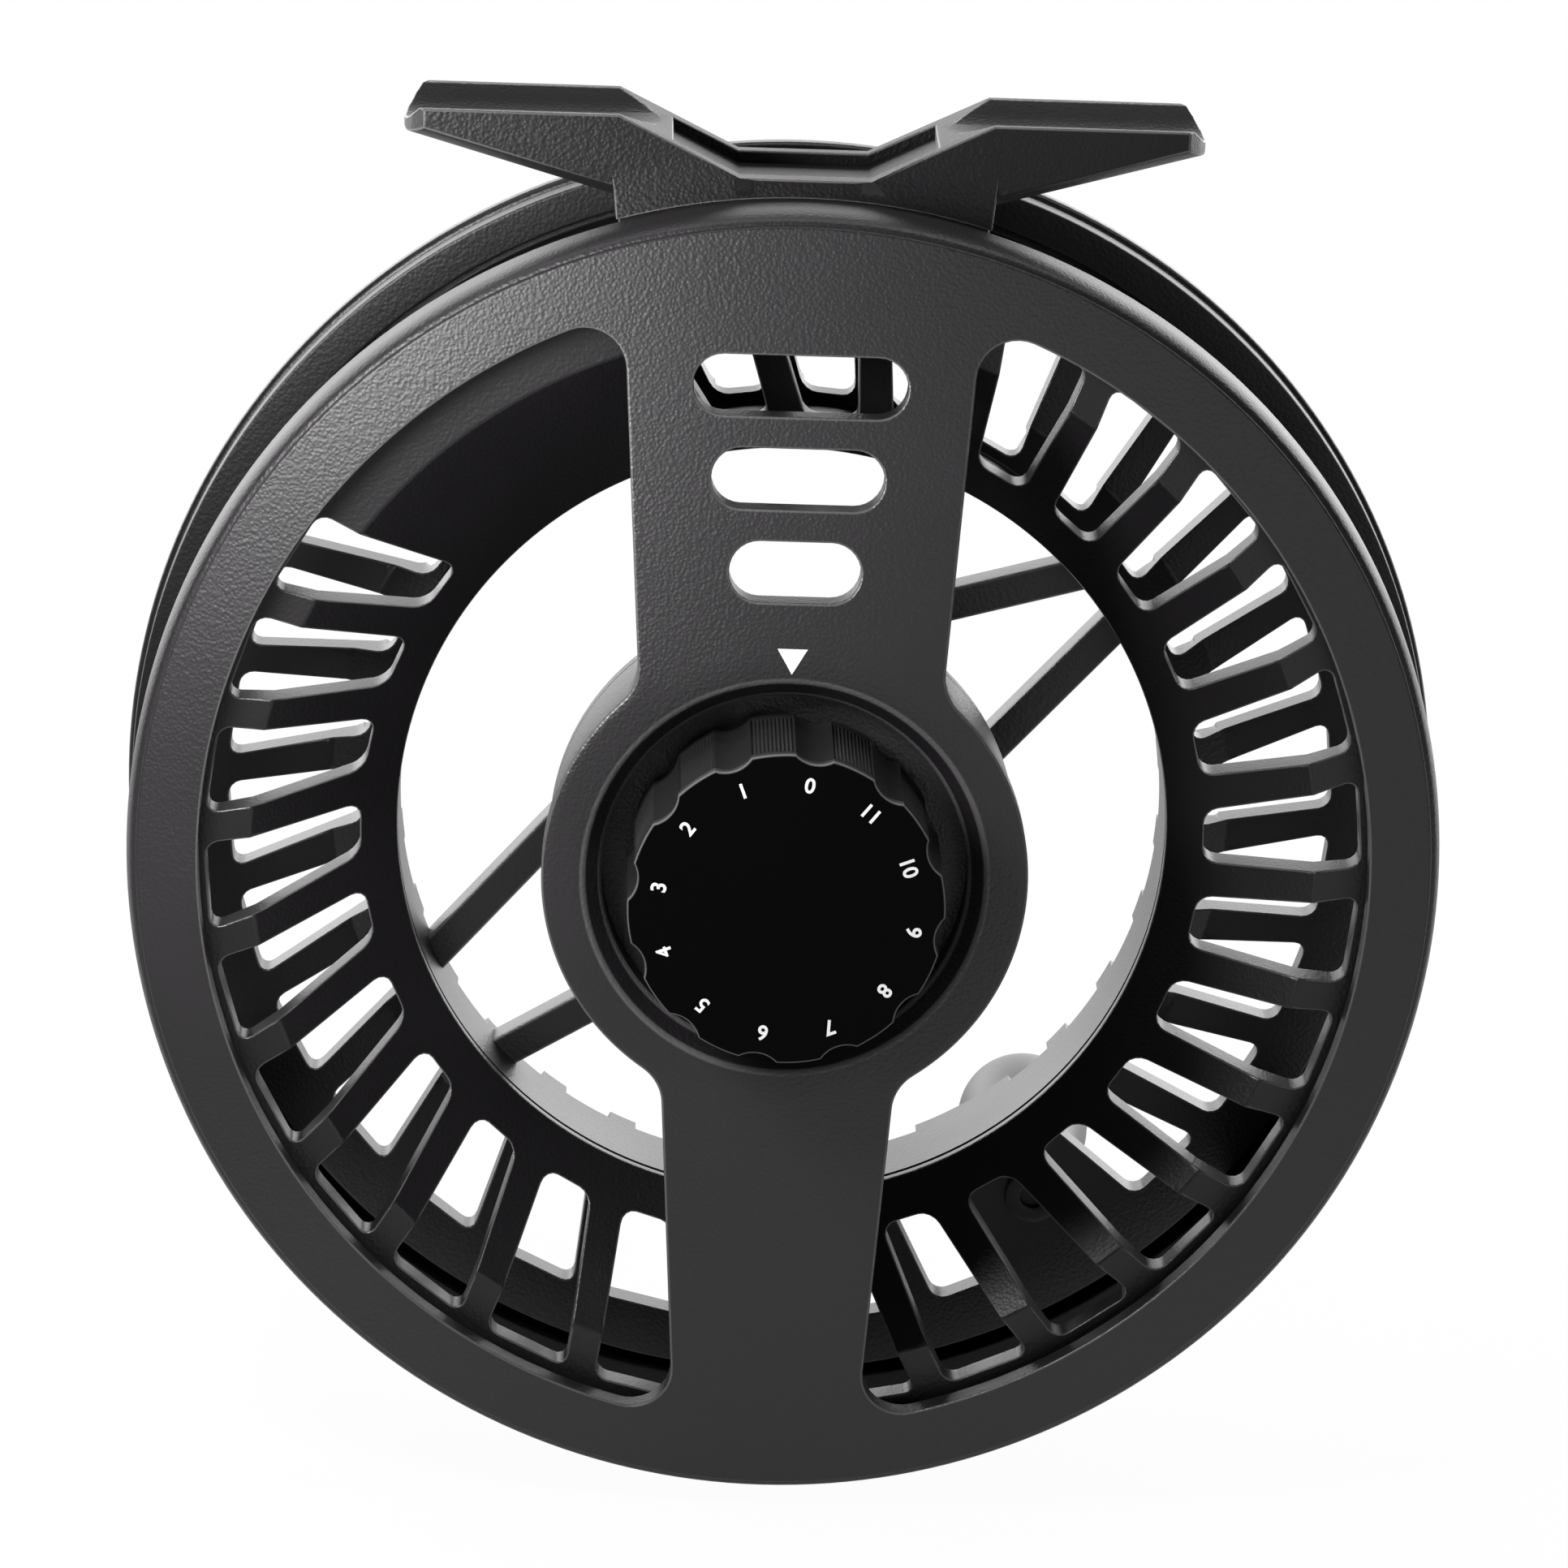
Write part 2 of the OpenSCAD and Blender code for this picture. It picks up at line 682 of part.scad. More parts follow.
// Two spring washers that meet at their outer edges
module drag_springs() {
    middle = springs_front + spring_t + spring_h;
    end = springs_front + 2 * (spring_t + spring_h);
    color("#9a9c9f") {
        turned([
            [spring_in_r, springs_front], [spring_out_r, middle - spring_t], [spring_out_r, middle],
            [spring_in_r, springs_front + spring_t]
        ]);
        turned([
            [spring_in_r, end - spring_t], [spring_out_r, middle], [spring_out_r, middle + spring_t],
            [spring_in_r, end]
        ]);
    }
}

module housing_cover() {
    color("#2b2a2e") difference() {
        rod(housing_r, cover_front, cover_back);
        rod(seal_groove_r, cover_front - over, cover_back + over);
        three_places(cover_screw_at_r) {
            rod(cover_screw_r, cover_front - over, cover_back + over);
            rod(cover_screw_head_r, cover_back - cover_screw_head_t, cover_back + over);
        }
    }
}

module cover_screws() {
    color("#77797c") three_places(cover_screw_at_r) {
        rod(cover_screw_r, cover_front - cover_screw_grip, cover_back - cover_screw_head_t / 2);
        rod(cover_screw_head_r, cover_back - cover_screw_head_t, cover_back);
    }
}

module rotor_seal() {
    section_r = (seal_groove_r - sleeve_r - run_gap) / 2;
    color("#151515") translate([0, (cover_front + cover_back) / 2, 0]) rotate([-90, 0, 0])
        rotate_extrude() translate([seal_groove_r - section_r, 0]) circle(section_r);
}

module detent_ball() {
    color("#c4c6c8") translate([0, detent_front + detent_r, detent_at_r]) sphere(detent_r);
}

module detent_spring() {
    color("#9a9c9f") translate([0, 0, detent_at_r])
        tube(detent_r, detent_r - 0.2, detent_front + 2 * detent_r, detent_hole_back);
}

// Round outline with shallow scallops, one of them at the dial's zero
module scalloped(r) {
    difference() {
        circle(r);
        for (i = [0:scallops - 1]) rotate(dial_zero + 360 * i / scallops)
            translate([r - scallop_depth + scallop_r, 0]) circle(scallop_r);
    }
}

module drag_knob() {
    color("#1b1a1d") difference() {
        plate(knob_face, knob_back) scalloped(knob_r);
        difference() {
            rod(knob_cavity_r, knob_face + knob_web_t, knob_back + over);
            rod(knob_hub_r, knob_face, nut_back + 0.4);
        }
        rod(knob_bore_r, knob_face - over, knob_back + over);
        rod(screw_head_r + 0.2, knob_face - over, knob_face + screw_pocket_depth);
        for (i = [0:scallops - 1]) rotate([0, 90 - dial_zero + 360 * i / scallops, 0])
            translate([0, detent_front + detent_r - 0.2, detent_at_r]) sphere(detent_r + 0.1);
    }
}

module dial_plate() {
    color("#070708") plate(-dial_front, knob_face) scalloped(knob_r);
}

// Ring that the knob drives along the axis, with three legs through the housing wall
module drag_nut() {
    color("#a98f4e") {
        tube(nut_r, knob_hub_r + run_gap, nut_back - nut_t, nut_back);
        three_places(leg_at_r) rod(leg_r, nut_back - nut_t / 2, plate_front);
    }
}

module pressure_plate() {
    color("#a8aaad") tube(stack_out_r - 0.2, stack_in_r, plate_front, springs_front);
}

// One slot through a flange, with its outer end at an angle of zero
module slot_outline(in_r, out_r, in_w, out_w, lean) {
    in_angle = -lean;
    inner = in_r * [cos(in_angle), sin(in_angle)];
    in_side = [-sin(in_angle), cos(in_angle)];
    polygon(rounded([
        inner - in_side * in_w / 2, [out_r, -out_w / 2], [out_r, out_w / 2], inner + in_side * in_w / 2
    ], slot_corner));
}

module near_slots() {
    plate(near_rim_front - over, arbor_front + near_axial_t)
        for (i = [0:slot_places - 1])
            if (i < solid_first || i >= solid_first + solid_count)
                rotate(slot_phase + i * slot_pitch)
                    slot_outline(slot_in_r, slot_out_r, slot_in_w, slot_out_w, slot_lean);
}

// Slots of the far flange, which also notch the rear edge of the arbor
module far_slots() {
    notch_front = far_flange_front + 0.9;
    for (i = [0:slot_places - 1])
        if (i != far_solid + slot_places)
            rotate([0, -slot_phase - i * slot_pitch, 0]) {
                plate(far_flange_front - flange_t, far_flange_back + over)
                    slot_outline(slot_in_r, far_slot_out_r, slot_in_w, slot_out_w, slot_lean);
                plate(notch_front, far_flange_back + over) rotate(-slot_lean)
                    translate([arbor_in_r - over, -slot_in_w / 2])
                    square([slot_in_r + 2 * slot_corner - arbor_in_r + over, slot_in_w]);
            }
}

module spoke_outlines() {
    for (i = [0:3]) {
        side = i % 2 == 0 ? 1 : -1;
        past_axis = hub_r - spoke_insets[i];
        reach = sqrt(pow(arbor_in_r + arbor_t / 2, 2) - past_axis * past_axis);
        rotate(spoke_angles[i])
            translate([0, side * past_axis - spoke_t / 2]) square([reach, spoke_t]);
    }
}

module spool() {
    near_back = near_rim_front + near_axial_t;
    color("#1d1c1f") difference() {
        union() {
            turned([
                [near_flange_r, near_rim_front], [near_kink_r, near_rim_front], [arbor_in_r, arbor_front],
                [arbor_in_r, far_flange_back], [palm_in_r, far_flange_back], [palm_in_r, palm_back],
                [palm_r - 0.6, palm_back], [palm_r, palm_back - 0.6], [palm_r, palm_front],
                [far_flange_r, palm_front], [far_flange_r, far_flange_front], [far_kink_r, far_flange_front],
                [arbor_r, far_flange_front - (far_kink_r - arbor_r) / 2],
                [arbor_r, near_back + (near_kink_r - arbor_r) * near_slope], [near_kink_r, near_back],
                [near_flange_r, near_rim_front + flange_t]
            ]);
            rod(hub_r, hub_front, hub_back);
            difference() {
                plate(spoke_front, spoke_front + spoke_depth) spoke_outlines();
                rod(hub_r - 1, spoke_front - over, spoke_front + spoke_depth + over);
            }
        }
        near_slots();
        far_slots();
        rod(clutch_r, hub_front - over, clutch_back);
        rod(sleeve_r + free_gap, clutch_back - over, bearing_front + over);
        rod(bearing_r, bearing_front, hub_back + over);
        at_handle() rod(handle_pin_r, far_flange_front - over, far_flange_back + over);
    }
}

module one_way_clutch() {
    color("#8f9194") tube(clutch_r, clutch_in_r, clutch_front, clutch_back);
}

module bearing_ring_inner() {
    color("#b4b6b9") tube(spindle_r + bearing_ring_t, spindle_r, bearing_front, bearing_back);
}

module bearing_ring_outer() {
    color("#b4b6b9") tube(bearing_r, bearing_r - bearing_ring_t, bearing_front, bearing_back);
}

module bearing_balls() {
    track_in = spindle_r + bearing_ring_t + run_gap;
    track_out = bearing_r - bearing_ring_t - run_gap;
    color("#d0d2d4") for (i = [0:bearing_balls_n - 1]) rotate([0, 360 * i / bearing_balls_n, 0])
        translate([(track_in + track_out) / 2, (bearing_front + bearing_back) / 2, 0])
        sphere((track_out - track_in) / 2);
}

module bearing_clip() {
    color("#6d6f72") tube(bearing_r, bearing_r - 1.2, bearing_back, bearing_back + clip_t);
}

// Disc of the drag with the sleeve that the clutch grips
module drag_rotor() {
    color("#9fa1a4") difference() {
        union() {
            rod(stack_out_r - 0.2, rotor_front, rotor_front + rotor_t);
            rod(sleeve_r, rotor_front, sleeve_back);
        }
        rod(sleeve_in_r, rotor_front - over, sleeve_back + over);
    }
}

module rotor_bush() {
    color("#a98f4e") tube(sleeve_in_r, bush_in_r, rotor_front, sleeve_back);
}

module handle_pin() {
    color("#a2a4a7") at_handle() {
        rod(handle_pin_r + 0.5, far_flange_front - 0.7, far_flange_front);
        rod(handle_pin_r, far_flange_front - 0.4, handle_back - handle_screw_pocket);
    }
}

module handle_washer() {
    color("#d8d8d8") at_handle()
        tube(handle_root_r + 0.4, handle_pin_r, far_flange_back, far_flange_back + handle_washer_t);
}

// Knob that widens towards a domed end, with a pocket for its screw
module handle_knob() {
    dome = handle_r * 0.75;
    shoulder = handle_back - dome;
    flat_r = handle_pin_r + 1.3;
    color("#4a494c") at_handle() difference() {
        turned(concat(
            [[0, handle_front], [handle_root_r - 0.4, handle_front], [handle_root_r, handle_front + 0.4]],
            [for (i = [1:8]) let (t = i / 8)
                [handle_root_r + (handle_r - handle_root_r) * (1 - cos(180 * t)) / 2,
                 handle_front + 0.4 + (shoulder - handle_front - 0.4) * t]],
            [for (i = [1:6]) let (a = 15 * i)
                [flat_r + (handle_r - flat_r) * cos(a), shoulder + dome * sin(a)]],
            [[0, handle_back]]
        ));
        rod(handle_pin_r + run_gap, handle_front - over, handle_back + over);
        rod(handle_pin_r + 0.9, handle_back - handle_screw_pocket, handle_back + over);
    }
}

module handle_screw() {
    pocket = handle_back - handle_screw_pocket;
    color("#8d8f92") at_handle() difference() {
        rod(handle_pin_r + 0.6, pocket + face_gap, pocket + 2);
        translate([0, pocket + 1, 0]) rotate([-90, 0, 0]) cylinder(r = 0.9, h = 2, $fn = 6);
    }
}

module cap_washer() {
    front = spindle_shoulder + face_gap;
    color("#b4b6b9") tube(spindle_r + 1.4, thread_r + run_gap, front, front + washer_t);
}

module spool_cap() {
    spigot_r = bearing_r - 1.4;
    spigot_front = spindle_shoulder + 2 * face_gap + washer_t;
    color("#232226") difference() {
        union() {
            turned([
                [0, spigot_front], [spigot_r, spigot_front], [spigot_r, cap_front], [cap_r - 0.5, cap_front],
                [cap_r, cap_front + 0.5], [cap_r, cap_front + cap_h - 1], [cap_r - 1, cap_front + cap_h],
                [0, cap_front + cap_h]
            ]);
        }
        rod(thread_r + run_gap, spigot_front - over, spindle_back + 0.3);
        for (i = [0:cap_grips - 1]) rotate([0, 360 * i / cap_grips, 0])
            translate([cap_r + 0.7, 0, 0]) rod(1.3, cap_front - over, cap_front + cap_h + over);
    }
}

module cap_seal() {
    section_r = 0.45;
    color("#151515") translate([0, cap_front - section_r, 0]) rotate([-90, 0, 0])
        rotate_extrude() translate([bearing_r - 1.4 + section_r, 0]) circle(section_r);
}

seated() frame();
seated() reel_foot();
seated() foot_screws();
seated() spindle();
seated() knob_screw();
seated() front_drag_disc();
seated() rear_drag_disc();
seated() drag_springs();
seated() housing_cover();
seated() cover_screws();
seated() rotor_seal();
seated() detent_ball();
seated() detent_spring();
seated() drag_knob();
seated() dial_plate();
seated() drag_nut();
seated() pressure_plate();
seated() spool();
seated() one_way_clutch();
seated() bearing_ring_inner();
seated() bearing_ring_outer();
seated() bearing_balls();
seated() bearing_clip();
seated() handle_pin();
seated() handle_washer();
seated() drag_rotor();
seated() rotor_bush();
seated() handle_knob();
seated() handle_screw();
seated() cap_washer();
seated() spool_cap();
seated() cap_seal();
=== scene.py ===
import json
import math

import bmesh
import bpy
from mathutils import Matrix, Vector
from mathutils.kdtree import KDTree


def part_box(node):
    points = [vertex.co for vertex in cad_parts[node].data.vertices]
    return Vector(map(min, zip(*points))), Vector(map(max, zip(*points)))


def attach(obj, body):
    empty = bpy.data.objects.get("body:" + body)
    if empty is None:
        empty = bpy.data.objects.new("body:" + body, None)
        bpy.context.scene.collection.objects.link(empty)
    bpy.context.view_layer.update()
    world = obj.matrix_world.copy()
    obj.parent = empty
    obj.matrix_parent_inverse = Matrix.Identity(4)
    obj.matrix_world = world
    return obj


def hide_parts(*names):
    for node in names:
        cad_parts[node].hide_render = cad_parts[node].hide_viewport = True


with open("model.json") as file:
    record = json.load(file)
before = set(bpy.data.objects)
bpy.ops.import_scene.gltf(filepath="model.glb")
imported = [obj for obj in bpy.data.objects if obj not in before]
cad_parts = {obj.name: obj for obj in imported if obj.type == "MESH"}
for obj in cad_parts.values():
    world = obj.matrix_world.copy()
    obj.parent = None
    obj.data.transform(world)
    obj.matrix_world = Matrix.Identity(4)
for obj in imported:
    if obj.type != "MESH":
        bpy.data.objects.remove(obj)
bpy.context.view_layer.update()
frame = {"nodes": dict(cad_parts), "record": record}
nodes = frame["nodes"]
scene = bpy.context.scene

# Shapes are drawn in millimetres about the spool axis, with depth along +Y from the near ring's face.
# TO_ROW puts them in the model's frame, in metres: the bearing gives the axis, and the boss, which is the
# frontmost part of the frame, stands in front of the ring's face.
low, high = (Vector(corner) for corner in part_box("bearing_ring_inner"))
axis = (low + high) / 2
BOSS_FRONT = -3.5
axis.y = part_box("frame")[0][1] - BOSS_FRONT / 1000
TO_ROW = Matrix.Translation(axis) @ Matrix.Scale(0.001, 4)
FROM_ROW = TO_ROW.inverted()


# Shaping helpers

def polar(r, degrees):
    a = math.radians(degrees)
    return Vector((r * math.cos(a), r * math.sin(a)))


def heading(v):
    return math.degrees(math.atan2(v[1], v[0]))


def arc(centre, r, start, end, steps):
    """Points of an arc in the plane, both ends included, the way the angles run."""
    return [Vector(centre) + polar(r, start + (end - start) * i / steps) for i in range(steps + 1)]


def short_arc(centre, r, start, end, steps):
    sweep = (end - start + 180) % 360 - 180
    return arc(centre, r, start, start + sweep, steps)


def tidy(bm):
    """Joins the vertices that meet and turns all faces outwards."""
    bmesh.ops.remove_doubles(bm, verts=bm.verts, dist=1e-4)
    bmesh.ops.recalc_face_normals(bm, faces=bm.faces)
    return bm


def round_corners(bm, verts, offset, segments):
    bmesh.ops.bevel(bm, geom=verts, offset=offset, offset_type="OFFSET", affect="VERTICES",
                    segments=segments, profile=0.5, material=-1, clamp_overlap=True)


def turned(profile, steps, soft=0.0, segments=3, open_ends=False):
    """Spins a profile of (radius, depth) about the spool axis, open where its ends lie on the axis."""
    bm = bmesh.new()
    line = [bm.verts.new((r, y, 0)) for r, y in profile]
    pairs = list(zip(line, line[1:]))
    if not open_ends:
        pairs.append((line[-1], line[0]))
    for pair in pairs:
        bm.edges.new(pair)
    if soft:
        inner = [v for v in line if len(v.link_edges) == 2 and v.co.x > 1e-6]
        round_corners(bm, inner, soft, segments)
    bmesh.ops.spin(bm, geom=bm.verts[:] + bm.edges[:], cent=(0, 0, 0), axis=(0, 1, 0),
                   angle=math.tau, steps=steps, use_merge=True)
    return tidy(bm)


def prism(outline, front, back):
    """An outline in X and Z, as deep as the two depths say."""
    bm = bmesh.new()
    bm.faces.new([bm.verts.new((x, front, z)) for x, z in outline])
    grown = bmesh.ops.extrude_face_region(bm, geom=bm.faces[:])
    far_side = [v for v in grown["geom"] if isinstance(v, bmesh.types.BMVert)]
    bmesh.ops.translate(bm, vec=(0, back - front, 0), verts=far_side)
    return tidy(bm)


def soften(bm, width, segments=2, angle=32, clamp=True, shortest=0.0):
    """Rounds each outer edge that is sharper than the angle and long enough, and marks it for the lighter
    edge colour, which stands for wear and a painted highlight.
    """
    wear_and_highlight = bm.verts.layers.float.get("wear_and_highlight") or bm.verts.layers.float.new("wear_and_highlight")
    edges = [e for e in bm.edges
             if len(e.link_faces) == 2 and e.is_convex and e.calc_face_angle(0) > math.radians(angle)
             and e.calc_length() > shortest]
    made = bmesh.ops.bevel(bm, geom=edges, offset=width, offset_type="OFFSET", affect="EDGES",
                           segments=segments, profile=0.5, material=-1, clamp_overlap=clamp)
    fresh = set(made["faces"])
    for v in made["verts"]:
        if all(f in fresh for f in v.link_faces):
            v[wear_and_highlight] = 1.0
    return bm


def lofted(loops):
    """A closed skin through loops of points, each point joined to its fellow in the next loop."""
    bm = bmesh.new()
    verts = [bm.verts.new(p) for p in loops[0]]
    rim = [bm.edges.new(pair) for pair in zip(verts, verts[1:] + verts[:1])]
    bmesh.ops.edgeloop_fill(bm, edges=rim)
    for spots in loops[1:]:
        made = bmesh.ops.extrude_edge_only(bm, edges=rim)["geom"]
        fresh = {g for g in made if isinstance(g, bmesh.types.BMVert)}
        rim = [g for g in made if isinstance(g, bmesh.types.BMEdge) and all(v in fresh for v in g.verts)]
        below = {v: i for i, v in enumerate(verts)}
        verts = [None] * len(below)
        for v in fresh:
            old = next(e.other_vert(v) for e in v.link_edges if e.other_vert(v) in below)
            verts[below[old]] = v
            v.co = spots[below[old]]
    bmesh.ops.edgeloop_fill(bm, edges=rim)
    bmesh.ops.recalc_face_normals(bm, faces=bm.faces)
    return bm


# A vertex within this distance of a spot is the same vertex
SAME_SPOT = 0.004


def mark_worn(bm, spots):
    """Marks the vertices at some spots for the lighter edge colour, which stands for wear and a painted
    highlight.
    """
    wear_and_highlight = bm.verts.layers.float.get("wear_and_highlight") or bm.verts.layers.float.new("wear_and_highlight")
    tree = KDTree(len(spots))
    for i, spot in enumerate(spots):
        tree.insert(spot, i)
    tree.balance()
    for v in bm.verts:
        if tree.find(v.co)[2] < SAME_SPOT:
            v[wear_and_highlight] = 1.0
    return bm


def rounded(outline, corner, segments=4):
    """The outline with its corners rounded."""
    bm = bmesh.new()
    bm.faces.new([bm.verts.new((x, 0, z)) for x, z in outline])
    round_corners(bm, bm.verts[:], corner, segments)
    bm.faces.ensure_lookup_table()
    loop = [Vector((v.co.x, v.co.z)) for v in bm.faces[0].verts]
    bm.free()
    return loop


def spaced(outline, gap):
    """The outline, anticlockwise, with points added so that none are further apart than the gap."""
    following = outline[1:] + outline[:1]
    if sum(p.x * q.y - q.x * p.y for p, q in zip(outline, following)) < 0:
        return spaced(outline[::-1], gap)
    points = []
    for p, q in zip(outline, following):
        count = max(1, math.ceil((q - p).length / gap))
        points += [p.lerp(q, i / count) for i in range(count)]
    return points


def widened(outline, by):
    """The outline moved outwards by a distance."""
    points = []
    for before, p, after in zip(outline[-1:] + outline[:-1], outline, outline[1:] + outline[:1]):
        a, b = (p - before).normalized(), (after - p).normalized()
        side = Vector((a.y + b.y, -a.x - b.x))
        points.append(p + side * (2 * by / side.length_squared))
    return points


# Steps of a rounded edge: how far out from the opening and how far into the surface, as shares of its width
EDGE_STEPS = ((1.55, -0.12), (0.45, 0.12), (0.12, 0.45), (0.0, 1.0))
# Points along a cutter's outline are no further apart than this
CUT_GAP = 0.8


def eased_cut(outline, width, ends, front=None, back=None):
    """A cutter that leaves a rounded edge at each surface, given as the surface's depth at a radius."""
    outline = spaced(outline, CUT_GAP)
    loops, edges = [], []
    for face, way, steps in ((front, 1, EDGE_STEPS), (back, -1, EDGE_STEPS[::-1])):
        for out, into in steps if face else ():
            wider = widened(outline, out * width)
            loops.append([(p.x, face(p.length) + way * into * width, p.y) for p in wider])
            if 0 < into < 1:
                edges += loops[-1]
    first = loops[0] if front else [(p.x, 0, p.y) for p in outline]
    last = loops[-1] if back else [(p.x, 0, p.y) for p in outline]
    loops.insert(0, [(x, ends[0], z) for x, y, z in first])
    loops.append([(x, ends[1], z) for x, y, z in last])
    return mark_worn(lofted(loops), edges)


def together(parts):
    """Several shapes as one."""
    whole = bmesh.new()
    whole.verts.layers.float.new("wear_and_highlight")
    for bm in parts:
        if not bm.verts.layers.float.get("wear_and_highlight"):
            bm.verts.layers.float.new("wear_and_highlight")
        mesh = bpy.data.meshes.new("part")
        bm.to_mesh(mesh)
        bm.free()
        whole.from_mesh(mesh)
        bpy.data.meshes.remove(mesh)
    return whole


def moved(bm, offset):
    bmesh.ops.translate(bm, vec=offset, verts=bm.verts)
    return bm


def loose_object(name, bm):
    """An object that is a tool or part of the stage, and no piece of the reel."""
    mesh = bpy.data.meshes.new(name)
    bm.to_mesh(mesh)
    bm.free()
    obj = bpy.data.objects.new(name, mesh)
    scene.collection.objects.link(obj)
    return obj


def carved(blank, cutters):
    """The blank with each cutter taken out of it in turn, and the edges they leave marked for the lighter
    edge colour of wear and a painted highlight.
    """
    obj = loose_object("blank", blank)
    edges = []
    for bm in cutters:
        wear_and_highlight = bm.verts.layers.float["wear_and_highlight"]
        edges += [v.co.copy() for v in bm.verts if v[wear_and_highlight]]
        tool = loose_object("tool", bm)
        cut = obj.modifiers.new("cut", "BOOLEAN")
        cut.operation = "DIFFERENCE"
        cut.solver = "EXACT"
        cut.object = tool
        result = bpy.data.meshes.new_from_object(obj.evaluated_get(bpy.context.evaluated_depsgraph_get()))
        obj.modifiers.clear()
        obj.data = result
        bpy.data.objects.remove(tool)
    out = bmesh.new()
    out.from_mesh(obj.data)
    bpy.data.objects.remove(obj)
    bmesh.ops.remove_doubles(out, verts=out.verts, dist=2e-3)
    bmesh.ops.dissolve_degenerate(out, dist=1e-3, edges=out.edges)
    return mark_worn(out, edges)


def cad_copy(node):
    """A merged copy of a solid from the model, in millimetres about the spool axis."""
    bm = bmesh.new()
    bm.from_mesh(nodes[node].data)
    bmesh.ops.transform(bm, matrix=FROM_ROW, verts=bm.verts)
    bmesh.ops.remove_doubles(bm, verts=bm.verts, dist=1e-3)
    bmesh.ops.dissolve_limit(bm, angle_limit=math.radians(0.8), verts=bm.verts, edges=bm.edges)
    return bm


def piece(name, bm, body, finish, slot, *replaced, weighted=True, smooth=40):
    """Finishes a shape as an object that moves with a body and stands for some of the model's solids."""
    bmesh.ops.transform(bm, matrix=TO_ROW, verts=bm.verts)
    mesh = bpy.data.meshes.new(name)
    bm.to_mesh(mesh)
    bm.free()
    mesh.shade_smooth()
    mesh.set_sharp_from_angle(angle=math.radians(smooth))
    mesh.materials.append(finish)
    obj = bpy.data.objects.new(name, mesh)
    scene.collection.objects.link(obj)
    if weighted:
        even = obj.modifiers.new("even_normals", "WEIGHTED_NORMAL")
        even.keep_sharp = True
    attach(obj, body)
    if replaced:
        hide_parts(*replaced)


# Finishes

class Wire:
    """A shader socket that can be used in plain sums."""

    def __init__(self, tree, socket):
        self.tree = tree
        self.socket = socket

    def sum(self, operation, first, second):
        made = self.tree.node("ShaderNodeMath", {"operation": operation}, {0: first, 1: second})
        return made.out(0)

    def __add__(self, other):
        return self.sum("ADD", self, other)

    def __radd__(self, other):
        return self.sum("ADD", other, self)

    def __sub__(self, other):
        return self.sum("SUBTRACT", self, other)

    def __rsub__(self, other):
        return self.sum("SUBTRACT", other, self)

    def __mul__(self, other):
        return self.sum("MULTIPLY", self, other)

    def __rmul__(self, other):
        return self.sum("MULTIPLY", other, self)


class Made:
    """A node just added, with its outputs as wires."""

    def __init__(self, tree, node):
        self.tree = tree
        self.node = node

    def out(self, key):
        return Wire(self.tree, self.node.outputs[key])


class Finish:
    """A material made from nodes."""

    def __init__(self, name):
        self.material = bpy.data.materials.new(name)
        self.material.use_nodes = True
        self.tree = self.material.node_tree
        self.shader = self.tree.nodes["Principled BSDF"]

    def node(self, kind, settings=None, inputs=None):
        node = self.tree.nodes.new(kind)
        for key, value in (settings or {}).items():
            setattr(node, key, value)
        for key, value in (inputs or {}).items():
            if isinstance(value, Wire):
                self.tree.links.new(value.socket, node.inputs[key])
            else:
                node.inputs[key].default_value = value
        return Made(self, node)

    def feed(self, key, value):
        """Sets or links an input of the main shader."""
        if isinstance(value, Wire):
            self.tree.links.new(value.socket, self.shader.inputs[key])
        else:
            self.shader.inputs[key].default_value = value

    def place(self):
        return self.node("ShaderNodeTexCoord").out("Object")

    def noise(self, scale, detail=2.0, rough=0.5, where=None):
        made = self.node("ShaderNodeTexNoise", {}, {
            "Vector": where or self.place(), "Scale": scale, "Detail": detail, "Roughness": rough})
        return made.out("Fac")

    def grains(self, scale):
        made = self.node("ShaderNodeTexVoronoi", {"feature": "SMOOTH_F1"}, {
            "Vector": self.place(), "Scale": scale, "Smoothness": 0.6})
        return made.out("Distance")

    def between(self, factor, low, high):
        made = self.node("ShaderNodeMapRange", {"clamp": True}, {
            "Value": factor, "From Min": low, "From Max": high})
        return made.out("Result")

    def blend(self, factor, first, second):
        made = self.node("ShaderNodeMix", {"data_type": "RGBA"}, {0: factor, 6: first, 7: second})
        return made.out(2)

    def bump(self, height, strength, distance):
        made = self.node("ShaderNodeBump", {}, {"Height": height, "Strength": strength, "Distance": distance})
        return made.out("Normal")


def grey(value, warmth=0.0):
    return (value * (1 + warmth), value, value * (1 - 0.6 * warmth), 1.0)


def plum(value):
    """Black with the faint plum cast of the coat."""
    return (value * 1.05, value * 0.88, value * 1.05, 1.0)


def textured_coat(name, shade, rough, grain, depth, shine=0.5, wear_and_highlight_shade=0.14):
    """Black powder coat: a fine pebbled skin, painted lighter along its edges for wear and a painted
    highlight.
    """
    f = Finish(name)
    edge = f.node("ShaderNodeAttribute", {"attribute_name": "wear_and_highlight"}).out("Fac")
    pebbles = f.grains(grain)
    drift = f.noise(60, 3.0)
    speck = f.noise(grain * 0.7, 2.0, 0.6)
    tone = f.blend(f.between(drift, 0.3, 0.7), plum(shade * 0.86), plum(shade * 1.14))
    tone = f.blend(f.between(speck, 0.62, 0.8) * 0.35, tone, plum(shade * 2.1))
    # Base colour lightens along the marked edges: wear, and a painted highlight standing in for bright edge
    # lines
    f.feed("Base Color", f.blend(edge * 0.6, tone, grey(wear_and_highlight_shade, 0.02)))
    f.feed("Roughness", rough - edge * 0.16 + (drift - 0.5) * 0.10)
    f.feed("Specular IOR Level", shine)
    f.feed("Normal", f.bump(pebbles + speck * 0.6, 0.6, depth))
    return f.material


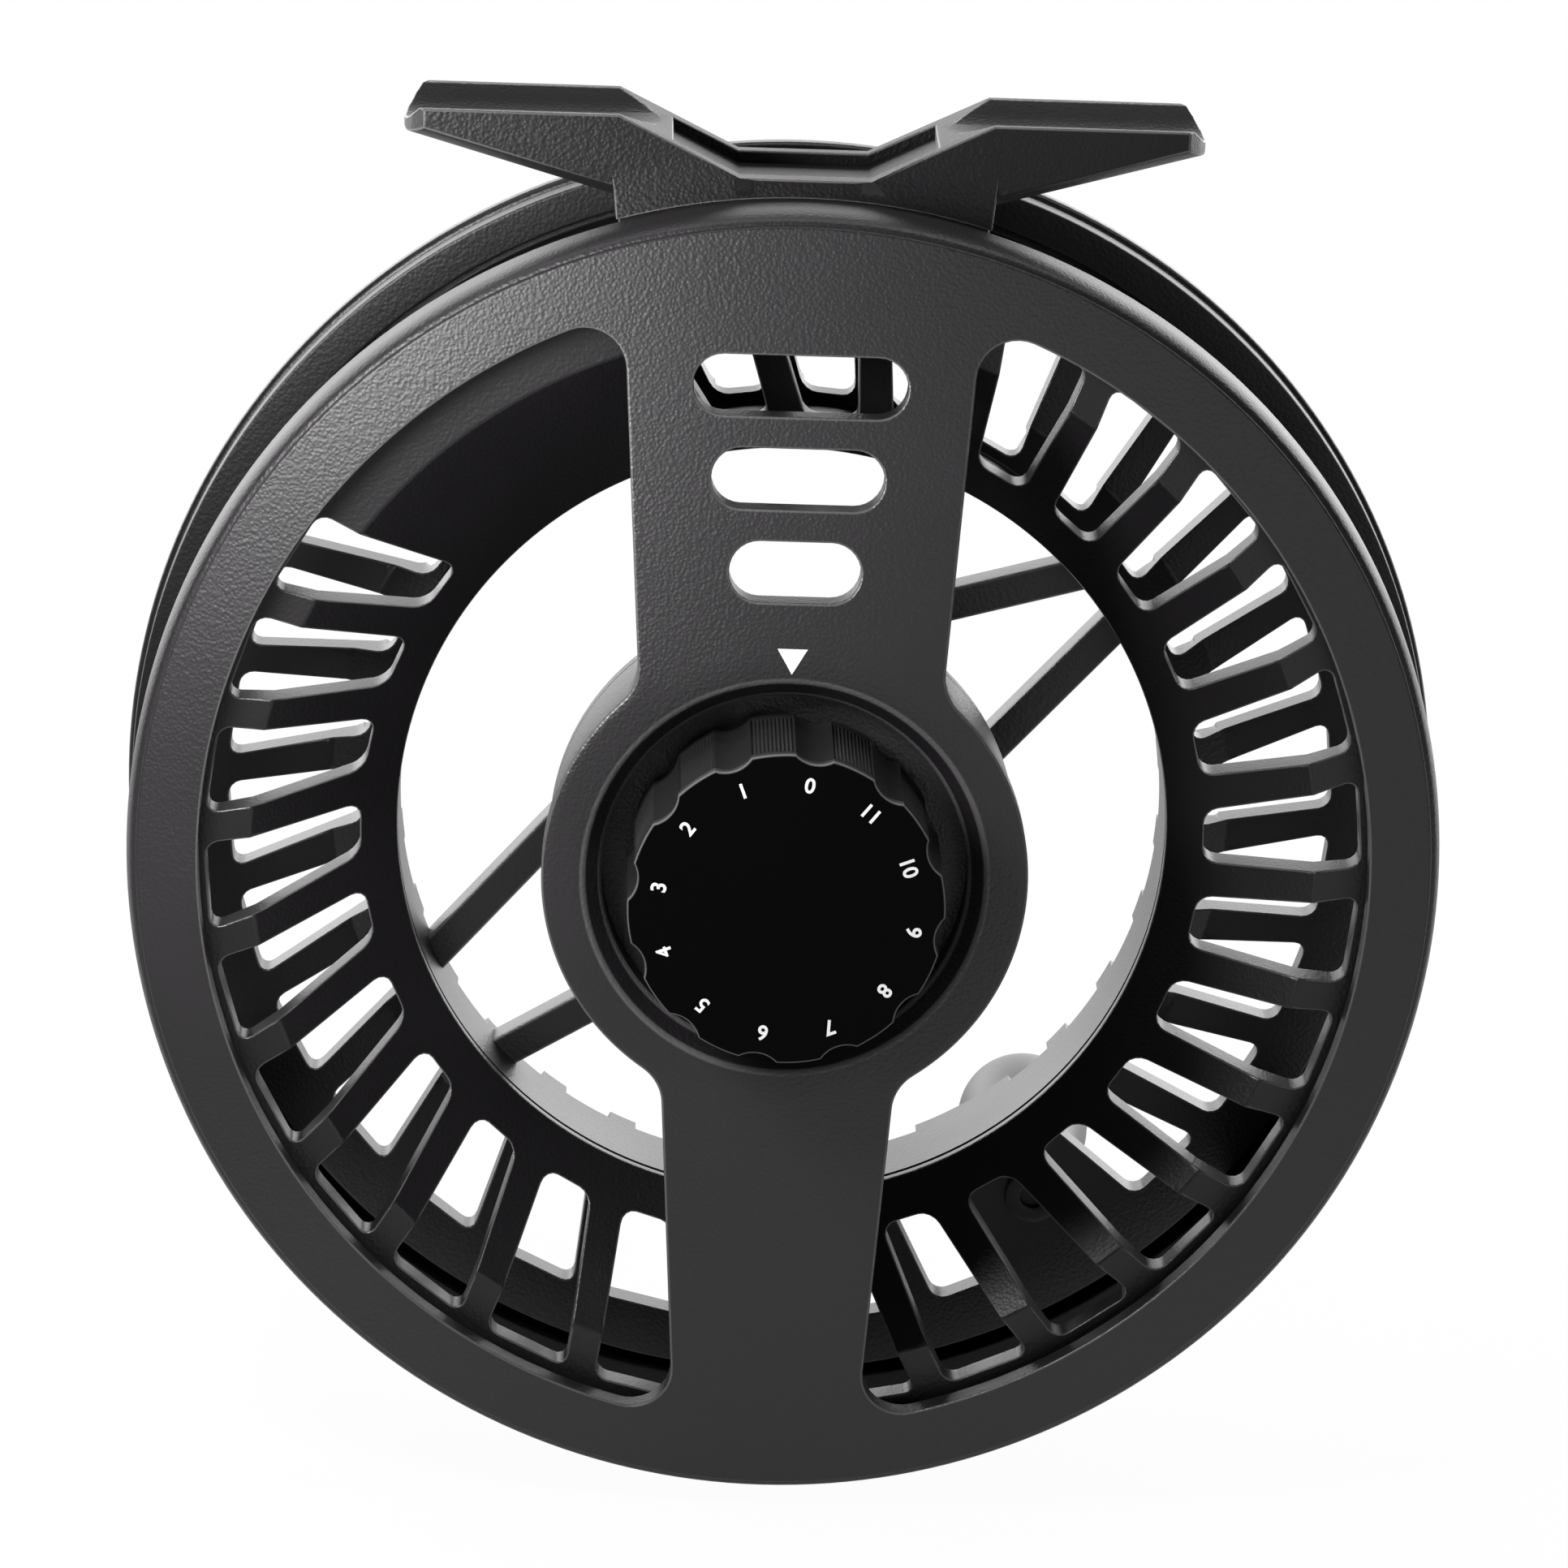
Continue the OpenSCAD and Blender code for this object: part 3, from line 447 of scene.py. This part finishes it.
def satin(name, shade, rough):
    """Smooth satin black with faint marks from handling."""
    f = Finish(name)
    marks = f.noise(140, 4.0, 0.6)
    tone = f.blend(f.between(marks, 0.3, 0.7), grey(shade * 0.88), grey(shade * 1.12))
    f.feed("Base Color", tone)
    f.feed("Roughness", rough + (marks - 0.5) * 0.10)
    f.feed("Normal", f.bump(f.noise(2600, 2.0), 0.18, 0.00003))
    return f.material


def gloss(name, shade, rough):
    """Gloss black plastic with the faintest haze, painted paler along its cut rim for wear and a painted
    highlight.
    """
    f = Finish(name)
    haze = f.noise(90, 3.0)
    edge = f.node("ShaderNodeAttribute", {"attribute_name": "wear_and_highlight"}).out("Fac")
    tone = f.blend(haze, grey(shade * 0.8), grey(shade * 1.2))
    # The cut rim is painted paler: wear, and a painted highlight on the edge
    f.feed("Base Color", f.blend(edge * 0.4, tone, grey(0.3)))
    f.feed("Roughness", rough + (haze - 0.5) * 0.04)
    f.feed("Specular IOR Level", 0.04)
    return f.material


def print_white(name):
    """White pad print, slightly uneven."""
    f = Finish(name)
    ink = f.noise(900, 2.0)
    f.feed("Base Color", f.blend(ink, grey(0.78), grey(0.9)))
    f.feed("Roughness", 0.5 + (ink - 0.5) * 0.1)
    return f.material


def turned_metal(name, colour, rough):
    """Machined metal with fine tool lines round the spool axis."""
    f = Finish(name)
    spread = f.node("ShaderNodeMapping", {}, {"Vector": f.place(), "Scale": (1, 40, 1)}).out("Vector")
    lines = f.noise(260, 3.0, 0.6, spread)
    dark = tuple(c * 0.8 for c in colour) + (1.0,)
    f.feed("Base Color", f.blend(f.between(lines, 0.3, 0.7), dark, tuple(colour) + (1.0,)))
    f.feed("Metallic", 1.0)
    f.feed("Roughness", rough + (lines - 0.5) * 0.16)
    f.feed("Normal", f.bump(lines, 0.12, 0.00003))
    return f.material


def woven_carbon(name):
    f = Finish(name)
    weave = f.node("ShaderNodeTexChecker", {}, {"Vector": f.place(), "Scale": 900.0}).out("Fac")
    f.feed("Base Color", f.blend(weave, grey(0.016), grey(0.034)))
    f.feed("Roughness", 0.42 + weave * 0.14)
    return f.material


def soft_rubber(name):
    f = Finish(name)
    dust = f.noise(700, 3.0)
    f.feed("Base Color", f.blend(dust, grey(0.016), grey(0.03)))
    f.feed("Roughness", 0.7 + (dust - 0.5) * 0.2)
    return f.material


def pale_plastic(name):
    f = Finish(name)
    cloud = f.noise(300, 3.0)
    f.feed("Base Color", f.blend(cloud, grey(0.66, 0.02), grey(0.76, 0.02)))
    f.feed("Roughness", 0.45 + (cloud - 0.5) * 0.1)
    return f.material


# Shade, roughness, scale and depth of the grain, then the strength of the reflection and the edge shade,
# painted lighter for wear and a painted highlight
coat = textured_coat("black_coat", 0.009, 0.48, 3800, 0.00006)
foot_coat = textured_coat("foot_coat", 0.006, 0.46, 3600, 0.00006, 0.22, 0.2)
back_coat = textured_coat("back_coat", 0.006, 0.40, 3600, 0.00003, 0.25)
spool_coat = textured_coat("spool_coat", 0.006, 0.40, 3600, 0.00003, 0.4)
knob_black = satin("knob_black", 0.016, 0.34)
handle_black = satin("handle_black", 0.05, 0.42)
dial_black = gloss("dial_black", 0.001, 0.3)
ink_white = print_white("ink_white")
steel = turned_metal("steel", (0.56, 0.56, 0.57), 0.3)
dark_steel = turned_metal("dark_steel", (0.16, 0.16, 0.17), 0.38)
bronze = turned_metal("bronze", (0.50, 0.35, 0.15), 0.35)
carbon = woven_carbon("carbon")
seal_rubber = soft_rubber("seal_rubber")
washer_plastic = pale_plastic("washer_plastic")

BY_SLOT = {
    "black_coat": coat, "spool_coat": spool_coat, "dial_black": dial_black, "steel": steel,
    "dark_steel": dark_steel, "bronze": bronze, "carbon": carbon, "seal_rubber": seal_rubber,
    "washer_plastic": washer_plastic, "handle_black": handle_black,
}
for part in frame["record"]["subparts"]:
    node = nodes[part["node"]]
    node.data.materials.clear()
    node.data.materials.append(BY_SLOT[part["material_slot"]])


# Frame: near ring, arms, boss and drag housing in one, then the bridge, pillars and far ring

RING_IN, BOSS_R = 43.0, 17.8
RING_FILLET, BOSS_FILLET = 3.0, 3.4
# Radius where the front starts to fall away, and its slope
FACE_R, FACE_SLOPE = 17.1, 0.12954
# Radius of the drag housing, and where the back of the arms meets it
HOUSING_R, BACK_START, BACK_SLOPE = 17.3, -0.9, 0.1192
# Width of the rounded edges of the openings, and how far their cutters reach
OPENING_EASE, OPENING_ENDS = 0.2, (-8, 4)
OBROUND_H = 4.4
RING_STEPS = 240


def front_face(r):
    """Depth of the frame's front, which falls away evenly from the boss to the rim."""
    return BOSS_FRONT + (r - FACE_R) * FACE_SLOPE


def back_face(r):
    """Depth of the back of the arms and the ring."""
    return BACK_START + (r - HOUSING_R) * BACK_SLOPE


def arm_edge(hub_w, ring_w):
    """Outline of an arm's right edge: from the boss, round its fillet, up the edge and round the other."""
    low, high = Vector((hub_w / 2, BOSS_R * 0.95)), Vector((ring_w / 2, RING_IN))
    along = (high - low).normalized()
    out = Vector((along.y, -along.x))

    def centre(r, reach):
        start = low + r * out
        b = start.dot(along)
        return start + along * (-b + math.sqrt(b * b - start.dot(start) + reach * reach))

    at_boss = centre(BOSS_FILLET, BOSS_R + BOSS_FILLET)
    at_ring = centre(RING_FILLET, RING_IN - RING_FILLET)
    first = short_arc(at_boss, BOSS_FILLET, heading(-at_boss), heading(-out), 10)
    second = short_arc(at_ring, RING_FILLET, heading(-out), heading(at_ring), 10)
    return first + second


def window(side):
    """Cutter of the opening to one side of the arms."""
    upper = arm_edge(22.6, 26.2)
    lower = [Vector((p.x, -p.y)) for p in arm_edge(17.0, 13.7)]
    ring_arc = arc((0, 0), RING_IN, heading(upper[-1]), heading(lower[-1]), 90)[1:-1]
    boss_arc = arc((0, 0), BOSS_R, heading(lower[0]), heading(upper[0]), 60)[1:-1]
    loop = upper + ring_arc + lower[::-1] + boss_arc
    loop = [Vector((side * p.x, p.y)) for p in loop]
    return eased_cut(loop, OPENING_EASE, OPENING_ENDS, front_face, back_face)


def obround(length, z):
    """Cutter of one slot in the upper arm."""
    half = length / 2 - OBROUND_H / 2
    right = arc((half, z), OBROUND_H / 2, -90, 90, 14)
    left = arc((-half, z), OBROUND_H / 2, 90, 270, 14)
    return eased_cut(right + left, OPENING_EASE, OPENING_ENDS, front_face, back_face)


def cage_bar(middle, half, width):
    """A bar from ring to ring, given as angles, with rounded edges."""
    inner, outer, front, back, steps = 45.9, 48.3, 5.5, 23.0, 24
    loop = arc((0, 0), outer, middle - half, middle + half, steps)
    loop += arc((0, 0), inner, middle + half, middle - half, steps)
    return soften(prism(loop, front, back), width)


# The face ends in a fine edge and a narrow groove, and the crown of the ring rounds off behind it
crown = [(47.36, 0.42), (47.47, 0.44), (47.55, 0.50), (47.58, 0.58), (47.6, 0.9), (47.72, 0.96)]
for degrees in range(12, 91, 13):
    a = math.radians(degrees)
    crown.append((47.72 + 0.68 * math.sin(a), 3.7 - 2.74 * math.cos(a)))
front_profile = [
    (3.0, 1.2), (13.4, 1.2), (13.4, -1.7), (13.4, -1.9), (13.62, -2.2), (13.74, -2.337), (14.5, -3.203),
    (14.62, -3.34), (14.9, BOSS_FRONT), (15.06, BOSS_FRONT), (FACE_R, BOSS_FRONT)]
front_profile += crown + [
    (48.4, 6.2), (48.1, 6.5), (44.7, 6.5), (44.4, 6.2), (44.4, back_face(44.4)),
    (HOUSING_R, back_face(HOUSING_R)), (HOUSING_R, 8.7), (17.1, 8.9), (15.4, 8.9), (15.2, 8.7), (15.2, 3.4),
    (3.0, 3.4)]
front = carved(turned(front_profile, RING_STEPS), [
    window(1), window(-1), obround(15.6, 36.1), obround(12.6, 29.4), obround(9.6, 22.7)])
# The two edges of the recess round the knob are marked too, for the lighter edge colour of wear and a painted
# highlight
wear_and_highlight = front.verts.layers.float["wear_and_highlight"]
for v in front.verts:
    r = math.hypot(v.co.x, v.co.z)
    if (14.55 < r < 14.95 and v.co.y < -3.3) or (13.3 < r < 13.7 and -2.3 < v.co.y < -1.8):
        v[wear_and_highlight] = 1.0
far_ring = turned([(46.4, 22.0), (49.0, 22.0), (49.0, 24.6), (46.4, 24.6)], RING_STEPS, 0.22, 2)
bridge = cage_bar(90, 16.4, 0.3)
pillars = [cage_bar(a, 5.3, 0.4) for a in (-35, 215)]
piece("frame_body", front, "frame", coat, "black_coat", "frame")
piece("frame_back", together([far_ring, bridge] + pillars), "frame", back_coat, "black_coat", "frame")

# The short edges round the tips of the foot are too small to round off
foot = cad_copy("reel_foot")
soften(foot, 0.16, 2, 28, clamp=False, shortest=0.3)
piece("foot", foot, "frame", foot_coat, "black_coat", "reel_foot")

# White pointer above the dial, a print of next to no thickness
pointer = prism([(-1.1, 17.2), (0, 15.3), (1.1, 17.2)], -3.53, -3.48)
piece("pointer", pointer, "frame", ink_white, "dial_black", weighted=False)


# Spool: turned flanges and arbor with milled slots, then the hub and its spokes

# Places for slots round each flange, and those left whole: three in the near flange, and the handle's
SLOTS, NEAR_WHOLE, FAR_WHOLE = 30, (9, 10, 11), (25,)
SLOT_STEP, SLOT_AT, SLOT_LEAN = 12, 5, 3.8
SLOT_IN_R, SLOT_IN_W, SLOT_OUT_W, SLOT_CORNER, SLOT_EASE = 31.4, 3.9, 6.6, 1.0, 0.14
NOTCH_IN_R, NOTCH_OUT_R, NOTCH_HALF, NOTCH_CORNER, NOTCH_EASE = 27.7, 33.4, 1.95, 0.5, 0.18
# Where the flat rim of the near flange turns into its cone, and the depths of the rim's front and back there
RIM_R, RIM_FRONT, RIM_BACK = 39.3, 3.4, 6.57
CONE_FRONT_SLOPE, CONE_BACK_SLOPE, RIM_BACK_SLOPE = 0.8676, 0.8655, 0.17
# The far flange, which slopes to the arbor inside a radius
FAR_FRONT, FAR_BACK, FAR_BEND_R, FAR_SLOPE = 21.8, 24.6, 34.0, 0.5
# Direction of each spoke, and how far to the left of the axis its line passes
SPOKES = ((15.3, 11.7), (47.5, -8.6), (210.5, 7.2), (228.5, -10.8))
SPOKE_T, SPOKE_FRONT, SPOKE_BACK = 2.5, 20.0, 23.2
# Radii between which a spoke runs, inside the hub's and the arbor's walls
SPOKE_FROM, SPOKE_TO = 13.2, 29.6


def slot_outline(angle, out_r):
    inner, outer = polar(SLOT_IN_R, angle - SLOT_LEAN), polar(out_r, angle)
    in_side, out_side = polar(1, angle - SLOT_LEAN + 90), polar(1, angle + 90)
    return [inner - in_side * SLOT_IN_W / 2, outer - out_side * SLOT_OUT_W / 2,
            outer + out_side * SLOT_OUT_W / 2, inner + in_side * SLOT_IN_W / 2]


def notch_outline(angle):
    inner, outer = polar(NOTCH_IN_R, angle - SLOT_LEAN), polar(NOTCH_OUT_R, angle - SLOT_LEAN)
    side = polar(1, angle - SLOT_LEAN + 90) * NOTCH_HALF
    return [inner - side, outer - side, outer + side, inner + side]


def near_front(r):
    """Depth of the near flange's front: a flat rim, then a cone that goes back to the arbor."""
    return RIM_FRONT + max(RIM_R - r, 0) * CONE_FRONT_SLOPE


def near_back(r):
    return RIM_BACK + (RIM_R - r) * (CONE_BACK_SLOPE if r < RIM_R else RIM_BACK_SLOPE)


def far_front(r):
    return FAR_FRONT - max(FAR_BEND_R - r, 0) * FAR_SLOPE


def far_back(r):
    return FAR_BACK


def slot_angles(whole):
    return [SLOT_AT + SLOT_STEP * i for i in range(SLOTS) if i not in whole]


def slot_cut(angle, out_r, ends, front, back):
    return eased_cut(rounded(slot_outline(angle, out_r), SLOT_CORNER), SLOT_EASE, ends, front, back)


def notch_cut(angle):
    """Cutter of a notch in the back end of the arbor."""
    return eased_cut(rounded(notch_outline(angle), NOTCH_CORNER, 3), NOTCH_EASE, (22.7, 26.0), back=far_back)


near_cuts = [slot_cut(a, 42.5, (2.0, 17.0), near_front, near_back) for a in slot_angles(NEAR_WHOLE)]
far_cuts = [slot_cut(a, 41.6, (19.4, 26.0), far_front, far_back) for a in slot_angles(FAR_WHOLE)]
notches = [notch_cut(a) for a in slot_angles(FAR_WHOLE)]
spool_profile = [
    (44.0, RIM_FRONT), (RIM_R, RIM_FRONT), (28.7, 12.6), (28.7, FAR_BACK), (43.5, FAR_BACK), (43.5, 27.1),
    (48.6, 27.1), (49.15, 26.9), (49.4, 26.4), (49.4, 25.2), (49.1, 24.9), (45.5, 24.9), (45.5, FAR_FRONT),
    (FAR_BEND_R, FAR_FRONT), (30.6, 20.1), (30.6, 14.1), (RIM_R, RIM_BACK), (44.0, 5.77)]
# A fine groove behind the lip of the arbor's bore
lip_groove = turned([(28.2, 13.4), (28.95, 13.4), (28.95, 14.0), (28.2, 14.0)], RING_STEPS)
wheel = carved(turned(spool_profile, RING_STEPS, 0.2),
               [together(cuts) for cuts in (near_cuts, far_cuts, notches, [lip_groove])])
hub = turned([(7.6, 10.7), (13.5, 10.7), (13.5, 23.4), (6.5, 23.4), (6.5, 18.0), (5.6, 18.0), (5.6, 17.2),
              (7.6, 17.2)], 120, 0.3, 2)
spokes = []
for angle, past_axis in SPOKES:
    turn = Matrix.Rotation(math.radians(angle), 2)
    start = math.sqrt(SPOKE_FROM ** 2 - (abs(past_axis) + SPOKE_T / 2) ** 2)
    reach = math.sqrt(SPOKE_TO ** 2 - past_axis ** 2)
    right, left = past_axis - SPOKE_T / 2, past_axis + SPOKE_T / 2
    loop = [turn @ Vector(p) for p in ((start, right), (reach, right), (reach, left), (start, left))]
    spokes.append(soften(prism(loop, SPOKE_FRONT, SPOKE_BACK), 0.25))
piece("spool_wheel", together([wheel, hub] + spokes), "spool", spool_coat, "spool_coat", "spool")


# Drag knob with knurled grips between its scallops, and the dial on it

KNOB_R, SCALLOPS, DIAL_ZERO = 11.5, 12, 81.4
SCALLOP_R, SCALLOP_DEPTH, SCALLOP_STEPS = 2.3, 0.55, 5
RIBS, RIB_PITCH = 11, 0.44
SKIRT_R, SKIRT_CEILING = 9.55, -9.5
DIAL_FRONT, DIAL_BACK = -12.5, -11.9
NUMBERS, NUMBER_R, NUMBER_H, NUMBER_T = 12, 9.3, 1.55, 0.012


def knob_round():
    """Points round the knob: (angle, radius, kind). The kind is 0 in a scallop, and 1 or 2 along a grip."""
    reach = KNOB_R - SCALLOP_DEPTH + SCALLOP_R
    half = math.degrees(math.acos((KNOB_R ** 2 + reach ** 2 - SCALLOP_R ** 2) / (2 * KNOB_R * reach)))
    pitch = 360 / SCALLOPS
    points = []
    for i in range(SCALLOPS):
        middle = DIAL_ZERO + i * pitch
        for k in range(-SCALLOP_STEPS, SCALLOP_STEPS + 1):
            a = half * k / SCALLOP_STEPS
            r = reach * math.cos(math.radians(a)) - math.sqrt(
                max(SCALLOP_R ** 2 - (reach * math.sin(math.radians(a))) ** 2, 0))
            points.append((middle + a, r, 0))
        gap = pitch - 2 * half
        for k in range(1, 2 * RIBS):
            points.append((middle + half + gap * k / (2 * RIBS), KNOB_R, 1 if k % 2 else 2))
    return points


def knob_shell():
    """The knob's side, drawn up layer by layer so that the grips get a square knurl."""
    marks = knob_round()

    def ring_at(y, cut, inset=0.0):
        spots = []
        for angle, r, kind in marks:
            p = polar(r - inset - (cut if kind == 1 else cut * 0.25 if kind == 2 else 0), angle)
            spots.append((p.x, y, p.y))
        return spots

    # Each layer is a depth, how deep its knurl is cut and how far it is drawn in
    layers = [(DIAL_BACK, 0.0, 0.25), (-11.65, 0.0, 0.0), (-11.3, 0.0, 0.0)]
    y = -11.15
    while y < -1.0:
        layers += [(y, 0.28, 0.0), (y + RIB_PITCH / 2, 0.10, 0.0)]
        y += RIB_PITCH
    layers += [(-0.6, 0.0, 0.0), (0.2, 0.0, 0.0), (0.4, 0.0, 0.2)]
    loops = [ring_at(*layer) for layer in layers]
    # The back turns in to the wall of the skirt, which goes up to its ceiling
    wall = [polar(SKIRT_R, angle) for angle, _, _ in marks]
    loops += [[(p.x, depth, p.y) for p in wall] for depth in (0.4, SKIRT_CEILING)]
    return lofted(loops)


def dial():
    """The plate on the knob, with a rounded front edge that is marked for the lighter edge colour of wear and
    a painted highlight.
    """
    bm = prism([polar(r, angle) for angle, r, _ in knob_round()], DIAL_FRONT, DIAL_BACK)
    front_edges = [e for e in bm.edges if all(v.co.y < DIAL_FRONT + 0.1 for v in e.verts)]
    bmesh.ops.bevel(bm, geom=front_edges, offset=0.14, offset_type="OFFSET", affect="EDGES",
                    segments=2, profile=0.5, material=-1, clamp_overlap=True)
    wear_and_highlight = bm.verts.layers.float.new("wear_and_highlight")
    for v in bm.verts:
        v[wear_and_highlight] = float(DIAL_FRONT + 0.01 < v.co.y < DIAL_FRONT + 0.2)
    return bm


def numeral(number, angle):
    """A number of the dial, its top towards the rim."""
    curve = bpy.data.curves.new("numeral", "FONT")
    curve.body = str(number)
    curve.align_x = "CENTER"
    curve.align_y = "CENTER"
    curve.size = NUMBER_H
    curve.offset = 0.035
    curve.extrude = NUMBER_T
    curve.resolution_u = 6
    obj = bpy.data.objects.new("numeral", curve)
    scene.collection.objects.link(obj)
    mesh = bpy.data.meshes.new_from_object(obj.evaluated_get(bpy.context.evaluated_depsgraph_get()))
    bpy.data.objects.remove(obj)
    bm = bmesh.new()
    bm.from_mesh(mesh)
    # The text is stood up to face the front, then turned round the dial
    stand = Matrix.Rotation(math.radians(90), 4, "X")
    turn = Matrix.Rotation(-math.radians(angle - 90), 4, "Y")
    at = polar(NUMBER_R, angle)
    place = Matrix.Translation((at.x, DIAL_FRONT - NUMBER_T, at.y))
    bmesh.ops.transform(bm, matrix=place @ turn @ stand, verts=bm.verts)
    return bm


piece("knob_grip", knob_shell(), "drag_knob", knob_black, "black_coat", "drag_knob",
      smooth=30, weighted=False)
piece("dial_face", dial(), "drag_knob", dial_black, "dial_black", "dial_plate", smooth=30)
numbers = [numeral(i, DIAL_ZERO + 360 / NUMBERS * i) for i in range(NUMBERS)]
piece("dial_numbers", together(numbers), "drag_knob", ink_white, "dial_black", weighted=False)


# Handle knob on its pin, whose blackened head has a small socket

handle_at = polar(36.9, -56.6)
HANDLE = (handle_at.x, 0, handle_at.y)
PIN_BACK = 43.1
pin_profile = [
    (0, 21.9), (0.95, 21.9), (0.95, 21.1), (2.1, 21.1), (2.1, FAR_FRONT), (1.6, FAR_FRONT), (1.6, PIN_BACK),
    (0, PIN_BACK)]
axle = moved(turned(pin_profile, 64, 0.12, 2, open_ends=True), HANDLE)
piece("handle_axle", axle, "spool", spool_coat, "spool_coat", "handle_pin")

# The grip swells from its root to a domed end with a pocket for the screw
ROOT_R, ROOT_FRONT, SWELL, SWELL_L, SWELL_STEPS = 3.6, 25.9, 1.45, 16.8, 24
DOME_IN_R, DOME_W, DOME_L, DOME_STEPS = 2.9, 2.15, 3.8, 12
grip = [(3.2, 25.5), (ROOT_R, ROOT_FRONT)]
for i in range(1, SWELL_STEPS + 1):
    t = i / SWELL_STEPS
    grip.append((ROOT_R + SWELL * (1 - math.cos(math.pi * t)) / 2, ROOT_FRONT + SWELL_L * t))
for i in range(1, DOME_STEPS + 1):
    a = math.radians(90 / DOME_STEPS * i)
    grip.append((DOME_IN_R + DOME_W * math.cos(a), 42.7 + DOME_L * math.sin(a)))
grip += [(2.5, 46.5), (2.5, PIN_BACK), (1.65, PIN_BACK), (1.65, 25.5)]
piece("handle_grip", moved(turned(grip, 96), HANDLE), "handle", handle_black, "handle_black", "handle_knob")

# Spool cap on the handle side
cap = cad_copy("spool_cap")
soften(cap, 0.15, 2, 30)
piece("cap_knob", cap, "cap", coat, "black_coat", "spool_cap")


# Floor, light and camera

FLOOR = -49.6


def backdrop(name, level, mirrored):
    """White to the eye, a little less so near the reel to keep its shadow, and darker in what mirrors it."""
    f = Finish(name)
    middle = tuple(TO_ROW @ Vector((0, 14, FLOOR)))
    away = f.node("ShaderNodeVectorMath", {"operation": "DISTANCE"}, {0: f.place(), 1: middle}).out("Value")
    near, far = 0.05, 0.15
    white = level + (1 - level) * f.between(away, near, far)
    path = f.node("ShaderNodeLightPath")
    seen = path.out("Is Camera Ray") * white + path.out("Is Glossy Ray") * mirrored
    glow = f.node("ShaderNodeEmission", {}, {"Color": (1, 1, 1, 1), "Strength": 1.0}).out(0)
    chalk = f.node("ShaderNodeBsdfDiffuse", {}, {"Color": (0.86, 0.86, 0.86, 1)}).out(0)
    mixed = f.node("ShaderNodeMixShader", {}, {0: seen, 1: chalk, 2: glow}).out(0)
    f.tree.links.new(mixed.socket, f.tree.nodes["Material Output"].inputs["Surface"])
    return f.material


floor_bm = bmesh.new()
bmesh.ops.create_grid(floor_bm, x_segments=1, y_segments=1, size=4000)
moved(floor_bm, (0, 0, FLOOR))
bmesh.ops.transform(floor_bm, matrix=TO_ROW, verts=floor_bm.verts)
floor = loose_object("floor", floor_bm)
floor.data.materials.append(backdrop("floor_white", 0.97, 0.45))

world = bpy.data.worlds.new("studio")
scene.world = world
world.use_nodes = True
sky = world.node_tree
path = sky.nodes.new("ShaderNodeLightPath")
seen = sky.nodes.new("ShaderNodeMath")
seen.operation = "MAXIMUM"
sky.links.new(path.outputs["Is Camera Ray"], seen.inputs[0])
sky.links.new(path.outputs["Is Transmission Ray"], seen.inputs[1])
level = sky.nodes.new("ShaderNodeMapRange")
level.inputs["To Min"].default_value = 0.03
level.inputs["To Max"].default_value = 1.0
sky.links.new(seen.outputs[0], level.inputs["Value"])
sky.nodes["Background"].inputs["Color"].default_value = (1, 1, 1, 1)
sky.links.new(level.outputs[0], sky.nodes["Background"].inputs["Strength"])


def softbox(name, at, aim, size, power):
    """A lamp at a place, aimed at another, in millimetres. Its size is in metres and its power in watts."""
    light = bpy.data.lights.new(name, "AREA")
    light.shape = "RECTANGLE"
    light.size, light.size_y = size
    light.energy = power
    obj = bpy.data.objects.new(name, light)
    scene.collection.objects.link(obj)
    obj.location = TO_ROW @ Vector(at)
    away = obj.location - TO_ROW @ Vector(aim)
    obj.rotation_euler = away.to_track_quat("Z", "Y").to_euler()
    obj.visible_camera = False


softbox("back_box", (0, 450, 130), (0, 8, 20), (0.9, 0.3), 2.4)
softbox("back_left", (-200, 250, 60), (0, 15, 0), (0.3, 0.3), 0.3)
softbox("back_right", (200, 250, 60), (0, 15, 0), (0.3, 0.3), 0.4)
softbox("top_box", (0, 45, 300), (0, 8, 0), (0.5, 0.2), 0.65)
softbox("key_box", (-55, -58, 54), (-33, 0, 33), (0.03, 0.03), 0.14)
softbox("fill_box", (200, -440, 30), (0, 8, 0), (0.25, 0.25), 0.3)

# Camera fitted to the rings of the reel
TARGET = Vector((-0.216, 0.0, 6.237))
DISTANCE, ELEVATION, AZIMUTH, ROLL = 700.0, 13.93, -1.23, 2.0
FOCAL_PX, PHOTO_PX, SENSOR = 11778.9, 1932, 36.0
e, a, r = (math.radians(x) for x in (ELEVATION, AZIMUTH, ROLL))
back = Vector((math.sin(a) * math.cos(e), -math.cos(a) * math.cos(e), math.sin(e)))
right = Vector((math.cos(a), math.sin(a), 0))
up = back.cross(right)
across = math.cos(r) * right + math.sin(r) * up
upward = -math.sin(r) * right + math.cos(r) * up
lens = bpy.data.cameras.new("camera")
lens.sensor_fit = "HORIZONTAL"
lens.sensor_width = SENSOR
lens.lens = FOCAL_PX / PHOTO_PX * SENSOR
lens.clip_start = 0.01
lens.clip_end = 50
camera = bpy.data.objects.new("camera", lens)
scene.collection.objects.link(camera)
place = TO_ROW @ (TARGET + back * DISTANCE)
camera.matrix_world = Matrix((
    (across.x, upward.x, back.x, place.x), (across.y, upward.y, back.y, place.y),
    (across.z, upward.z, back.z, place.z), (0, 0, 0, 1)))
scene.camera = camera

scene.view_settings.view_transform = "Standard"
